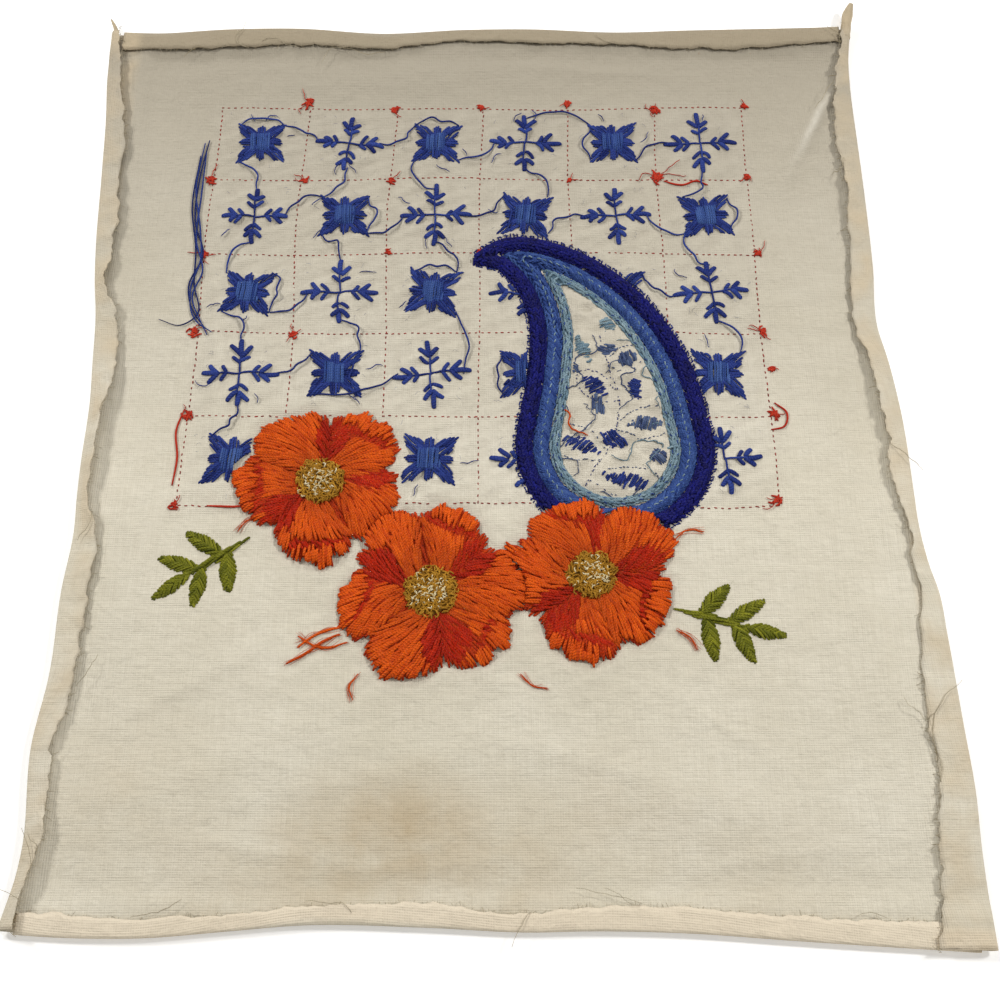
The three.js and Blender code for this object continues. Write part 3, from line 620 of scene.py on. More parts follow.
def add_piece(name, parts, material, nodes=()):
    """Joins mesh parts into one piece that rides on the frame"""
    verts, quads, uv, colours = join(parts)
    mesh = bpy.data.meshes.new(name)
    mesh.from_pydata(verts * MM, [], quads)
    mesh.uv_layers.new(name="flat").data.foreach_set("uv", uv.ravel())
    tint = mesh.color_attributes.new("thread", "FLOAT_COLOR", "POINT")
    tint.data.foreach_set("color", np.concatenate([colours, np.ones((len(colours), 1))], 1).ravel())
    mesh.polygons.foreach_set("use_smooth", np.ones(len(quads), bool))
    mesh.materials.append(material)
    mesh.update()
    piece = bpy.data.objects.new(name, mesh)
    bpy.context.scene.collection.objects.link(piece)
    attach(piece, "root")
    if nodes:
        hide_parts(*nodes)
    return piece


# Materials


class Nodes:
    """Short calls for building a node tree"""

    def __init__(self, name):
        self.material = bpy.data.materials.new(name)
        self.material.use_nodes = True
        self.tree = self.material.node_tree
        self.shader = self.tree.nodes["Principled BSDF"]

    def add(self, kind, *inputs, **settings):
        node = self.tree.nodes.new(kind)
        for key, value in settings.items():
            setattr(node, key, value)
        for socket, value in zip(node.inputs, inputs):
            self.put(value, socket)
        return node

    def put(self, value, socket):
        if isinstance(value, bpy.types.NodeSocket):
            self.tree.links.new(value, socket)
        else:
            socket.default_value = value

    def math(self, operation, *inputs):
        return self.add("ShaderNodeMath", *inputs, operation=operation).outputs[0]

    def set_inputs(self, node, **values):
        """Sets a node's inputs by name, with _ for a space"""
        for name, value in values.items():
            self.put(value, node.inputs[name.replace("_", " ")])
        return node

    def noise(self, vector, scale, detail=2.0, rough=0.5):
        node = self.add("ShaderNodeTexNoise")
        self.set_inputs(node, Vector=vector, Scale=scale, Detail=detail, Roughness=rough)
        return node.outputs["Fac"]

    def remap(self, value, low, high, to_low=0.0, to_high=1.0):
        return self.add("ShaderNodeMapRange", value, low, high, to_low, to_high).outputs[0]

    def mix(self, share, one, other):
        node = self.add("ShaderNodeMix", data_type="RGBA")
        return self.set_inputs(node, Factor=share, A=one, B=other).outputs["Result"]

    def bump(self, height, strength, distance):
        node = self.add("ShaderNodeBump")
        self.set_inputs(node, Height=height, Strength=strength, Distance=distance)
        self.put(node.outputs[0], self.shader.inputs["Normal"])


def rgba(colour):
    return (*linear(colour), 1)


# Stains on the near part of the linen: middle, reach and strength
STAINS = rows("x y reach share", [
    (-62, -230, 42, 0.5), (-30, -218, 34, 0.5), (10, -240, 48, 0.32), (-116, -250, 44, 0.2),
    (60, -212, 38, 0.16), (-170, -200, 50, 0.14), (120, -250, 60, 0.14),
])


def linen_material():
    """Plain weave in the sheet's own flat coordinates, with slubs and stains. The turned edges are
    tinted, the far one partly with painted shade, and the sheet's thread colours carry painted
    highlight and painted shade round the work"""
    n = Nodes("linen")
    flat = n.add("ShaderNodeUVMap", uv_map="flat").outputs[0]
    split = n.add("ShaderNodeSeparateXYZ", flat)
    u, v = split.outputs[0], split.outputs[1]
    pitch = 1.1
    across = n.math("SINE", n.math("MULTIPLY", u, 2 * math.pi / pitch))
    lengthwise = n.math("SINE", n.math("MULTIPLY", v, 2 * math.pi / pitch))
    weave = n.math("MULTIPLY", n.math("ADD", across, lengthwise), 0.5)
    along_u = n.set_inputs(n.add("ShaderNodeMapping", flat), Scale=(0.045, 1.5, 1))
    along_v = n.set_inputs(n.add("ShaderNodeMapping", flat), Scale=(1.5, 0.045, 1))
    slub = n.math("ADD", *(n.noise(way.outputs[0], 1.0, 3, 0.6) for way in (along_u, along_v)))
    cloudy = n.noise(flat, 0.012, 3, 0.55)
    mottled = n.noise(flat, 0.05, 3, 0.5)
    colour = n.mix(n.remap(cloudy, 0.3, 0.7), rgba((214, 207, 188)), rgba((225, 219, 203)))
    thread = n.add("ShaderNodeAttribute", attribute_name="thread").outputs["Color"]
    painted_light = n.add("ShaderNodeSeparateColor", thread).outputs
    layers = [
        (n.remap(slub, 0.75, 1.25, 0.0, 0.5), (194, 186, 166)),
        (n.remap(weave, -1, 1, 0.07, 0.0), (150, 140, 118)),
        # partly the cloth's own tone, partly painted shade where less light falls on the far end
        (n.remap(v, -40, 240), (163, 155, 139)),  # greyer towards the far hem
        # painted highlight: the pale channel, with paler cloth in the drop's hollow
        (n.math("MULTIPLY", painted_light[0], 0.8), (219, 214, 202)),
        # painted shade: the shade channel beside the work and in its folds
        (n.math("MULTIPLY", painted_light[1], 0.2), (150, 140, 130)),
    ]
    uneven = n.remap(mottled, 0.3, 0.6, 0.35, 1.0)
    for x, y, reach, share in records(STAINS):
        away = n.add("ShaderNodeVectorMath", flat, (x, y, 0), operation="DISTANCE").outputs["Value"]
        near = n.remap(away, reach * 1.1, reach * 0.1, 0.0, share)
        layers.append((n.math("MULTIPLY", near, uneven), (172, 146, 104)))
    specks = n.noise(flat, 0.16)
    layers += [
        (n.remap(specks, 0.76, 0.8, 0.0, 0.3), (140, 104, 64)),
        # darker far hem: partly dirtier doubled cloth, partly painted shade on the turned edge
        (n.remap(v, 254, 258, 0.0, 0.55), (150, 134, 106)),  # the far hem's turned edge
        (n.remap(v, -262, -266, 0.0, 0.7), (230, 215, 191)),  # the near hem's
    ]
    # The side flaps, in patches
    patchy = n.remap(n.noise(flat, 0.045), 0.35, 0.65, 0.08, 0.62)
    for low, high in ((-206, -212), (212, 218)):
        layers.append((n.math("MULTIPLY", patchy, n.remap(u, low, high)), (198, 180, 150)))
    for share, tint in layers:
        colour = n.mix(share, colour, rgba(tint))
    n.set_inputs(n.shader, Base_Color=colour, Roughness=0.92, Specular_IOR_Level=0.2,
                 Sheen_Weight=0.05, Sheen_Roughness=0.6)
    height = n.math("ADD", n.math("MULTIPLY", weave, 0.26), n.math("MULTIPLY", slub, 0.9))
    height = n.math("ADD", height, n.math("MULTIPLY", n.noise(flat, 0.3, 3), 1.6))
    height = n.math("ADD", height, n.math("MULTIPLY", n.noise(flat, 0.09, 3, 0.55), 5.0))
    n.bump(height, 0.6, 0.0005)
    return n.material


def thread_material(name, ply=1.5, roughness=0.9):
    """Twisted wool or cotton that takes its colour from each stitch"""
    n = Nodes(name)
    tint = n.add("ShaderNodeAttribute", attribute_name="thread").outputs["Color"]
    split = n.add("ShaderNodeSeparateXYZ", n.add("ShaderNodeUVMap", uv_map="flat").outputs[0])
    run, around = split.outputs[0], split.outputs[1]
    twist = n.math("ADD", n.math("MULTIPLY", run, 2 * math.pi / ply),
                   n.math("MULTIPLY", around, 4 * math.pi))
    strand = n.math("SINE", twist)
    place = n.add("ShaderNodeNewGeometry").outputs["Position"]
    fibre = n.noise(place, 1400.0, 3, 0.6)
    patch = n.noise(place, 120.0, 2, 0.5)
    black = (0.0, 0.0, 0.0, 1)
    # painted shade in the grooves between the plies
    colour = n.mix(n.remap(strand, -1, 1, 0.26, 0.0), tint, black)
    # painted highlight: pale cream specks where fibres catch the light
    colour = n.mix(n.remap(fibre, 0.4, 0.72, 0.0, 0.3), colour,
                   n.mix(0.1, tint, (1.0, 0.93, 0.8, 1)))
    colour = n.mix(n.remap(patch, 0.3, 0.7, 0.0, 0.12), colour, black)
    n.set_inputs(n.shader, Base_Color=colour, Roughness=roughness, Specular_IOR_Level=0.08)
    n.bump(n.math("ADD", strand, n.math("MULTIPLY", fibre, 1.2)), 0.6, 0.00025)
    return n.material


# The linen sheet


def side_turn(y):
    """Radius of a side fold's bend, wider where it goes over a hem"""
    near, far = HEM_ENDS
    start = (far - near) / 2 - CORNER_REACH
    widened = smoothstep(np.abs(y - (near + far) / 2), start, start + CORNER_REACH / 2)
    return lerp(TURN, CORNER_TURN, widened)


def grid_line(middle, bend, flap):
    """Kinds of a line's points, 0 on the middle, 1 on a bend and 2 on a flap, and their shares"""
    kind = np.repeat([-2, -1, 0, 1, 2], [flap, bend, middle + 1, bend, flap])
    bends, flaps = np.arange(1, bend + 1) / bend, np.arange(1, flap + 1) / flap
    middles = np.arange(middle + 1) / middle
    return kind, np.concatenate([flaps[::-1], bends[::-1], middles, bends, flaps])


def sheet_grid():
    """Middle points of the sheet with its flaps, which of them are kept, and flat coordinates"""
    kind_c, part_c = grid_line(middle=172, bend=5, flap=6)
    kind_r, part_r = grid_line(middle=212, bend=5, flap=4)
    kind_c, kind_r = np.meshgrid(kind_c, kind_r, indexing="ij")
    part_c, part_r = np.meshgrid(part_c, part_r, indexing="ij")
    base_c = np.where(kind_c == 0, part_c, (kind_c > 0) * 1.0)
    base_r = np.where(kind_r == 0, part_r, (kind_r > 0) * 1.0)
    rough_y = lerp(near_fold(0.0) + TURN, far_fold(0.0) - TURN, base_r)
    turn = side_turn(rough_y)
    x = lerp(left_fold(rough_y) + turn, right_fold(rough_y) - turn, base_c)
    y = lerp(near_fold(x) + TURN, far_fold(x) - TURN, base_r)
    z = CLOTH_FLOOR + CLOTH / 2 + swell(x, y) + pucker(x, y)
    u, v = x.copy(), y.copy()
    ragged, coarse = waves(21, 7), waves(22, 26)
    # Side flaps
    for side, raw, lift in ((-1, left_raw, left_lift), (1, right_raw, right_lift)):
        bent, flapped = kind_c == side, kind_c == 2 * side
        angle = part_c[bent] * np.pi
        x[bent] += side * turn[bent] * np.sin(angle)
        z[bent] += turn[bent] * (1 - np.cos(angle))
        u[bent] += side * turn[bent] * angle
        share, on_y, axis = part_c[flapped], rough_y[flapped], x[flapped]
        edge = raw(on_y) + 0.7 * ragged(on_y, side * 50) + 0.6 * coarse(on_y, side * 50)
        low = z[flapped] + 2 * turn[flapped]
        high = np.maximum(lift(on_y) + 0.35 * coarse(side * 90, on_y), low)
        x[flapped] = lerp(axis, edge, share)
        uneven = 0.4 * coarse(on_y * 1.4, side * 30) + 0.22 * ragged(on_y, side * 20)
        z[flapped] = lerp(low, high, share) + share * uneven
        u[flapped] = axis + side * (np.pi * turn[flapped] + np.abs(edge - axis) * share)
    # Hems
    for end, raw in ((-1, near_raw), (1, far_raw)):
        bent, flapped = kind_r == end, kind_r == 2 * end
        angle = part_r[bent] * np.pi
        y[bent] += end * TURN * np.sin(angle)
        z[bent] += TURN * (1 - np.cos(angle))
        v[bent] += end * TURN * angle
        share, on_x, axis = part_r[flapped], x[flapped], y[flapped]
        edge = raw(on_x) + 0.5 * ragged(on_x, end * 70) + 0.4 * coarse(on_x, end * 70)
        low = z[flapped] + 2 * TURN
        y[flapped] = lerp(axis, edge, share)
        uneven = 0.3 * share * coarse(on_x * 1.6, end * 40)
        z[flapped] = lerp(low, low + HEM_RISE - 2, share) + uneven
        v[flapped] = axis + end * (np.pi * TURN + np.abs(edge - axis) * share)
    kept = (kind_r == 0) | ((kind_c == 0) & (base_c > TUCK) & (base_c < 1 - TUCK))
    return np.stack([x, y, z], -1), kept, np.stack([u, v], -1)


def rolled(table, turns, thickness, seed):
    """A rolled or folded tip of cloth round a given line, as a closed spiral sheet"""
    t = np.arange(len(table["x"]), dtype=float)
    keyed = dict(table, t=t)
    s = np.linspace(0, t[-1], 22)
    line = np.stack([along(keyed, "t", column)(s) for column in ("x", "y", "z")], -1)
    radius = along(keyed, "t", "r")(s)
    way = np.gradient(line, axis=0)
    way /= np.linalg.norm(way, axis=1, keepdims=True)
    aside = np.cross((0, 0, 1), way)
    aside /= np.linalg.norm(aside, axis=1, keepdims=True)
    upward = np.cross(way, aside)
    around = np.linspace(0, 1, 26)
    uneven = 0.12 * waves(seed, 6)(line[:, 1][:, None], around[None] * 20)
    spiral = radius[:, None] * (1 - 0.45 * around[None]) + uneven
    spiral = np.maximum(spiral - thickness / 2, 0.15)
    angle = 2 * np.pi * turns * around[None] + 0.6 * np.sin(line[:, 1] / 5)[:, None]
    offset = aside[:, None] * (spiral * np.cos(angle))[..., None]
    offset = offset + upward[:, None] * (spiral * np.sin(angle))[..., None]
    middle = line[:, None] + offset
    kept = np.ones(middle.shape[:2], bool)
    normal = grid_normals(middle, kept)
    flat = np.stack(np.broadcast_arrays(around[None] * 18 - 260, line[:, 1][:, None]), -1)
    half = normal * thickness / 2
    return shell(middle + half, middle - half, kept, flat, (0, 0, 0))


linen_look = linen_material()
wool_look = thread_material("wool")
cotton_look = thread_material("cotton", ply=0.9, roughness=0.8)


def painted_light_shares(x, y):
    """How far the cloth has painted highlight on the puffed lattice field and a crease, is paler
    in the drop's hollow with painted highlights on its crumples, and has painted shade beside
    the work, in the hollow's folds and between the puffs, as channels
    """
    depth = drop_depth(x, y)
    hollow = smoothstep(depth, 20, 24)
    out_x = np.maximum(LATTICE_LEFT - x, x - LATTICE_LEFT - CELL * LATTICE_COLUMNS)
    out_y = np.maximum(LATTICE_FAR - CELL * LATTICE_ROWS - y, y - LATTICE_FAR)
    field = 1 - smoothstep(np.maximum(out_x, out_y) + 3 * pull(x, y), -6, 8)
    # painted highlight on the lattice field, brighter on its puffs
    paler_and_highlight = 0.1 * field * (0.75 + 0.3 * tile_puff(x, y))
    # paler cloth in the drop's hollow, with painted highlights following its crumples
    paler_and_highlight = np.maximum(paler_and_highlight, 0.12 * hollow * (0.8 + 0.6 * crumple(x, y)))
    # painted highlight along the ridge of the first crease
    paler_and_highlight = np.maximum(paler_and_highlight, 0.7 * ridge(records(CREASES)[0], x, y + 1.2 * pull(x, y)) ** 2)
    # painted shade beside the blossoms and the drop's bands
    close = np.maximum(-depth, 0) + 100 * hollow
    for blossom in BLOSSOMS:
        outside = np.maximum(blossom_polar(blossom, x, y)[0] - 1, 0) * blossom["reach"]
        close = np.minimum(close, outside)
    # painted shade in the folds of the drop's hollow
    folds = lerp(0.4, 1, smoothstep(-fine_crumple(x, y), 0.1, 1.2))
    shade = np.maximum(np.exp(-close / 5), 1.5 * hollow * folds)
    # painted shade in the lattice field between its puffs
    shade = np.maximum(shade, 0.45 * field * (1 - 0.6 * tile_puff(x, y)))
    return np.clip(np.stack([paler_and_highlight, shade, 0 * paler_and_highlight], -1), 0, 1)


sheet_points, sheet_kept, sheet_flat = sheet_grid()
half_cloth = grid_normals(sheet_points, sheet_kept) * CLOTH / 2
linen = add_piece("linen_cloth", [
    shell(sheet_points + half_cloth, sheet_points - half_cloth, sheet_kept, sheet_flat,
          painted_light_shares(sheet_points[..., 0], sheet_points[..., 1])),
    rolled(SPIKE, 1.3, 0.4, 31),
    rolled(TONGUE, 1.9, 0.4, 32),
], linen_look, ["linen"])


# Frayed raw edges


def edge_places(points, spacing, draw):
    """Places along a polyline at about a spacing"""
    run = run_along(points)
    at = np.arange(0, run[-1], spacing)
    at = np.clip(at + draw.uniform(-0.5, 0.5, len(at)) * spacing, 0, run[-1])
    return points_at(points, run, at)


def build_frays():
    draw = np.random.default_rng(41)
    parts = []
    # Raw edges without their corners: points, the way inwards, and the threads' spacing and length
    edges = [
        (sheet_points[0, 4:-4], (1, 0), 1.3, 2.0), (sheet_points[-1, 4:-4], (-1, 0), 1.1, 2.2),
        (sheet_points[14:-14, 0], (0, 1), 1.5, 1.4), (sheet_points[14:-14, -1], (0, -1), 1.4, 1.6),
    ]
    for points, inward, spacing, longest in edges:
        places = edge_places(points, spacing, draw)
        count = len(places)
        length = draw.gamma(2.0, longest / 2.6, count).clip(0.5, longest * 2.2)
        turn = math.atan2(inward[1], inward[0]) + draw.normal(0, 0.55, count)
        curl = draw.normal(0, 0.5, count)
        steps = np.linspace(0, 1, 5)
        heading = turn[:, None] + curl[:, None] * steps
        flat = unit(heading) * (length[:, None] * 0.25)[..., None]
        flat = np.cumsum(flat, axis=1) - flat[:, :1] - 0.4 * np.array(inward)
        drop = -length[:, None] * steps ** 2 * draw.uniform(-0.1, 0.55, count)[:, None]
        centres = with_height(places[:, None, :2] + flat, places[:, 2:3] + drop)
        floor = cloth(centres[..., 0], centres[..., 1]) + 0.15
        centres[..., 2] = np.maximum(centres[..., 2], floor)
        radius = draw.uniform(0.1, 0.17, count)
        parts.append(tubes(centres, radius, radius, dye("flax", count, draw), sides=4, ends=0.5))
        loose = places[draw.choice(count, size=max(6, int(count * 0.018)), replace=False)]
        bends = 16
        for place in loose:
            long = draw.uniform(9, 34)
            heading = math.atan2(inward[0], -inward[1]) + draw.choice([0, np.pi])
            heading = heading + draw.normal(0, 0.16)
            step = wander_steps(heading, 0.22, bends, draw) * long / bends
            flat = place[:2] + np.cumsum(step, axis=0) + draw.uniform(0, 2.5) * np.array(inward)
            nearest = np.linalg.norm(points[None, :, :2] - flat[:, None], axis=-1).argmin(1)
            high = points[nearest, 2] + 0.4 + 0.5 * np.sin(np.linspace(0, np.pi, bends))
            line = with_height(flat, high)[None]
            parts.append(tubes(line, 0.15, 0.15, dye("flax", 1, draw), sides=4, ends=0.6))
    return parts


add_piece("linen_frays", build_frays(), cotton_look)


# The blossoms

SEATED = 1.55  # height of the CAD pads' underside above the sheet's lowest point


def petal_top(blossom):
    """Height of a blossom's stitched surface: a pad that comes down to the cloth at its edge"""
    uneven = waves(int(60 + blossom["x"]) % 97, 9)

    def surface(x, y):
        share, _, wave = blossom_polar(blossom, x, y)
        arch = np.sin(np.pi * np.clip((share - HEART_SHARE) / (1.06 - HEART_SHARE), 0, 1))
        low = lerp(0.9, 0.8, share)
        crown = low + (2.9 - low) * arch * wave
        pad = swell(x, y) + SEATED - 0.45 + crown + 0.12 * uneven(x, y)
        edge = smoothstep((1 - share) * blossom["reach"], -0.6, 3.6)
        return lerp(cloth(x, y) + 0.3, pad, edge)

    return surface


def petal_place(blossom, petal, x, y):
    """Share of the reach, and place across a petal from -1 to 1"""
    share, angle, _ = blossom_polar(blossom, x, y)
    half = math.pi / blossom["petals"]
    curl = 0.22 * math.sin(2.4 * petal + blossom["x"]) * (1 - share)
    middle = math.radians(blossom["turn"]) + (2 * petal + 1) * half + curl
    across = (angle - middle + np.pi) % (2 * np.pi) - np.pi
    return share, across / half


def bed(region, surface, middle, reach, shade, drop=0.45, pitch=1.4):
    """A closed pad under stitches, so that no cloth shows between them. It is dyed darker than
    the thread, as painted shade in the gaps
    """
    steps = np.arange(-reach, reach + pitch, pitch)
    x, y = np.meshgrid(middle[0] + steps, middle[1] + steps, indexing="ij")
    kept = region(x, y)
    under = cloth(x, y) - 0.1
    top = np.maximum(surface(x, y) - drop, under + 0.15)
    flat = np.stack([x, y], -1)
    # painted shade: the pad darker than the thread's darkest dye
    colour = linear(DYES[shade][0]) * 0.8
    return shell(with_height(flat, top), with_height(flat, under), kept, flat, colour)


def build_blossom(blossom, first_petal):
    draw = np.random.default_rng(int(100 + blossom["x"]))
    ruffle, frill = waves(int(160 + blossom["x"]), 13), waves(int(260 + blossom["x"]), 5)
    middle = (blossom["x"], blossom["y"])
    reach = blossom["reach"] * 1.1
    surface = petal_top(blossom)
    uppermost = BLOSSOMS[1]

    def shown(x, y):
        return blossom is uppermost or blossom_polar(uppermost, x, y)[0] > 0.955

    def ground(x, y):
        share = blossom_polar(blossom, x, y)[0]
        return (share < 0.91 + 0.03 * ruffle(x, y)) & shown(x, y)

    def backed(x, y):
        edge = 0.97 + 0.03 * ruffle(x, y) + 0.015 * frill(x, y)
        return (blossom_polar(blossom, x, y)[0] < edge) & shown(x, y)

    # painted shade: the backing stitches darker towards the heart
    def painted_shade_inside(x, y):
        return lerp(0.85, 1.05, smoothstep(blossom_polar(blossom, x, y)[0], 0.3, 0.8))

    parts = [bed(ground, surface, middle, reach, "deep_orange")]
    parts += fan(backed, blossom, 0.12, 1.6, 9, lifted(surface, -0.22), "deep_orange", draw,
                 painted_shade_inside, steps=4, sides=4)
    for petal in range(blossom["petals"]):
        slant, shade_share, side, lip, lip_at = records(PETALS)[first_petal + petal]

        def is_shaded(share, across):
            curve_in = np.sin(np.pi * np.clip((share - 0.15) / 0.85, 0, 1)) ** 1.3
            return side * across > 1 - shade_share * (0.25 + 0.95 * curve_in)

        def lip_line(across):
            return 1 - 0.27 * lip * (1 - ((across - lip_at) / 0.85) ** 2)

        def is_lip(share, across):
            return (lip > 0) & (share > lip_line(across))

        def is_fold(share, across):
            line = lip_line(across)
            near_lip = (share > line - 0.1) & (share < line) & (np.abs(across - lip_at) < 0.7)
            return (lip > 0) & near_lip

        def whole(x, y):
            share, across = petal_place(blossom, petal, x, y)
            edge = 0.97 + 0.035 * ruffle(x, y) + 0.02 * frill(x, y)
            edge = edge - 0.16 * np.clip(np.abs(across) - 0.6, 0, 1)
            wide = 1.02 + 0.07 * (petal % 2)
            inside = (share < edge) & (share > HEART_SHARE * 0.75) & (np.abs(across) < wide)
            return inside & shown(x, y)

        # painted shade: darker towards the heart and at the sides where the next petal overlaps
        def painted_shading(x, y):
            share, across = petal_place(blossom, petal, x, y)
            painted_side_shade = lerp(1, 0.84, smoothstep(np.abs(across), 0.75, 1.05))
            return lerp(0.8, 1.05, smoothstep(share, 0.28, 0.6)) * painted_side_shade

        def is_plain(share, across):
            return ~(is_shaded(share, across) | is_lip(share, across) | is_fold(share, across))

        def is_red(share, across):
            return is_shaded(share, across) & ~is_lip(share, across)

        # painted shadow of the folded lip, worked in red thread
        def is_fold_shadow(share, across):
            return is_fold(share, across) & ~is_shaded(share, across)

        # Zones of the petal: which points, then the stitches' slant to the petal's own, pitch,
        # length, height, dye, brightness, which paints a highlight on the lip, and half width as a
        # share of the pitch
        zones = [
            (is_plain, 0, 1.2, 9.4, 0.1, "orange", 1, 0.6),
            (is_red, -side * 0.15, 1.2, 8.6, -0.1, "red", 1, 0.6),
            # red stitches under the lip: a painted shadow of the fold
            (is_fold_shadow, 0.5, 1.2, 6.5, -0.15, "red", 1, 0.6),
            # the lip's 1.04 brightness is a painted highlight
            (is_lip, side * 0.3, 1.06, 8, 0.6, "orange", 1.04, 0.7),
        ]
        lift = 0.55 * (petal % 2)
        for chosen, swing, pitch, length, high, shade, painted_brightening, wide in zones:
            def zone(x, y):
                return whole(x, y) & chosen(*petal_place(blossom, petal, x, y))

            parts += fan(zone, blossom, math.radians(slant) + swing, pitch, length,
                         lifted(surface, lift + high), shade, draw,
                         lambda x, y: painted_brightening * painted_shading(x, y), wide=wide)
    parts += fuzz(surface, ground, middle, reach, "orange", 300, draw)
    return parts


def fuzz(surface, region, middle, reach, shade, count, draw, longest=4.0):
    """Loose fibres that stand off the wool"""
    places = np.array(middle) + draw.uniform(-reach, reach, (count, 2))
    places = places[region(places[:, 0], places[:, 1])]
    count = len(places)
    heading = draw.uniform(0, 2 * np.pi, count)[:, None]
    heading = heading + np.cumsum(draw.normal(0, 0.5, (count, 5)), axis=1)
    step = unit(heading) * (draw.uniform(0.3, 1, count) * longest / 5)[:, None, None]
    flat = places[:, None] + np.cumsum(step, axis=1)
    rise = draw.uniform(0.4, 1.1, count)[:, None] * np.sin(np.pi * np.linspace(0.1, 0.95, 5))
    high = surface(flat[..., 0], flat[..., 1]) + 0.35 + rise
    centres = with_height(flat, high)
    return [tubes(centres, 0.06, 0.06, dye(shade, count, draw) * 1.1, sides=4, ends=0.6)]


first = 0
for blossom in BLOSSOMS:
    name = blossom["name"]
    parts = build_blossom(blossom, first)
    first += blossom["petals"]
    add_piece(f"petals_{name}", parts, wool_look, [f"blossom_{name}"])


def build_heart(blossom):
    """A knotted heart: short tangled stitches over a dome"""
    draw = np.random.default_rng(int(300 + blossom["x"]))
    middle = np.array([blossom["x"], blossom["y"]])
    radius = HEART_SHARE * blossom["reach"]

    def share_at(x, y):
        dx, dy = x - middle[0], y - middle[1]
        angle = np.arctan2(dy, dx)
        uneven = 1 + 0.05 * np.sin(3 * angle) + 0.04 * np.sin(7 * angle)
        return np.hypot(dx, dy) / (radius * uneven)

    def dome(x, y):
        share = np.clip(share_at(x, y), 0, 1.2)
        return swell(x, y) + SEATED + 0.9 + 0.3 + lerp(2.1, 0.5, share * share)

    def ground(x, y):
        return share_at(x, y) < 0.96

    parts = [bed(ground, dome, middle, radius * 1.2, "gold", drop=0.5, pitch=1.0)]
    for shade, count, spread, wide in (("gold", 300, 1.0, 0.46), ("cream", 74, 0.72, 0.36)):
        angle = draw.uniform(0, 2 * np.pi, count)
        share = np.sqrt(draw.uniform(0.0, 1, count)) * spread
        if shade == "cream":
            share = np.clip(draw.normal(0.45, 0.22, count), 0.03, 1)
        places = middle + unit(angle) * (share * radius)[:, None]
        turns = draw.uniform(0, np.pi, count)
        lengths = draw.uniform(2.4, 5.2, count) * (0.62 if shade == "cream" else 1)
        raised = draw.uniform(-0.25, 0.45, count)[:, None]
        half = unit(turns) * (lengths / 2)[:, None]
        centres = lay(places - half, places + half, dome, steps=5, dip=1.1,
                      bow=draw.normal(0, 0.9, count), dive=2)
        centres[..., 2] += raised + (0.5 if shade == "cream" else 0.15)
        parts.append(tubes(centres, wide, wide * 0.9, dye(shade, count, draw)))
    return parts


for blossom in BLOSSOMS:
    name = blossom["name"]
    add_piece(f"knots_{name}", build_heart(blossom), wool_look, [f"heart_{name}"])


# The drop: three bands and a hollow middle


def band_top(band, high):
    """Height of a band's stitched surface"""
    outer, inner = band

    def surface(x, y):
        share = np.clip((drop_depth(x, y) - outer) / (inner - outer), 0, 1)
        crown = 1 - np.abs(2 * share - 1) ** 2.2
        pad = swell(x, y) + SEATED + high * crown - 0.55
        return lerp(cloth(x, y) + 0.3, pad, smoothstep(crown, 0.0, 0.6))

    return surface


def clear_of_blossoms(places):
    return ~on_blossom(places[:, 0], places[:, 1], 0.96)


def ring_rows(depths, surface, shade, draw, length, spacing, slant, wide, high, dip=0.6):
    """Rows of overlapping stitches that follow the drop's outline"""
    parts = []
    for index, depth in enumerate(depths):
        points = drop_contour(depth, np.linspace(0, 1, 900, endpoint=False))
        run = run_along(points)
        at = np.arange(0, run[-1], spacing) + spacing * 0.5 * (index % 2)
        at = at + draw.normal(0, 0.18 * spacing, len(at))
        places, ahead = points_at(points, run, at), points_at(points, run, at + 0.5)
        turns = np.arctan2(*(ahead - places).T[::-1]) + slant * (1 if index % 2 else -1)
        turns = turns + draw.normal(0, 0.12, len(at))
        real = drop_depth(places[:, 0], places[:, 1])
        kept = clear_of_blossoms(places) & (np.abs(real - depth) < 0.8)
        lengths = length * draw.uniform(0.8, 1.2, len(at))
        parts.append(short_stitches(places[kept], turns[kept], lengths[kept], surface, shade, draw,
                                    wide=wide, high=high, steps=5, dip=dip, bow=0.15, sides=6))
    return parts


def in_band(band, margin=0.0):
    outer, inner = band

    def region(x, y):
        depth = drop_depth(x, y)
        return (depth > outer + margin) & (depth < inner - margin) & ~on_blossom(x, y, 0.95)

    return region


def build_border():
    draw = np.random.default_rng(51)
    surface = band_top(BORDER, 2.2)
    reach = 105
    parts = [bed(in_band(BORDER, 0.7), surface, DROP_MIDDLE, reach, "navy")]
    parts += ring_rows((1.0, 2.5, 4.1, 5.7, 7.3, 8.4), surface, "navy", draw,
                       length=4.4, spacing=2.5, slant=0.34, wide=0.86, high=0.6)
    parts += ring_rows((0.2,), lifted(cloth, 0.3), "navy", draw,
                       length=3.6, spacing=2.3, slant=1.25, wide=0.42, high=0.34)
    parts += ring_rows((-0.9,), lifted(cloth, 0.25), "blue", draw,
                       length=2.6, spacing=4.7, slant=0.2, wide=0.34, high=0.28)
    parts += fuzz(surface, in_band(BORDER), DROP_MIDDLE, reach, "navy", 1500, draw, longest=3.2)
    return parts


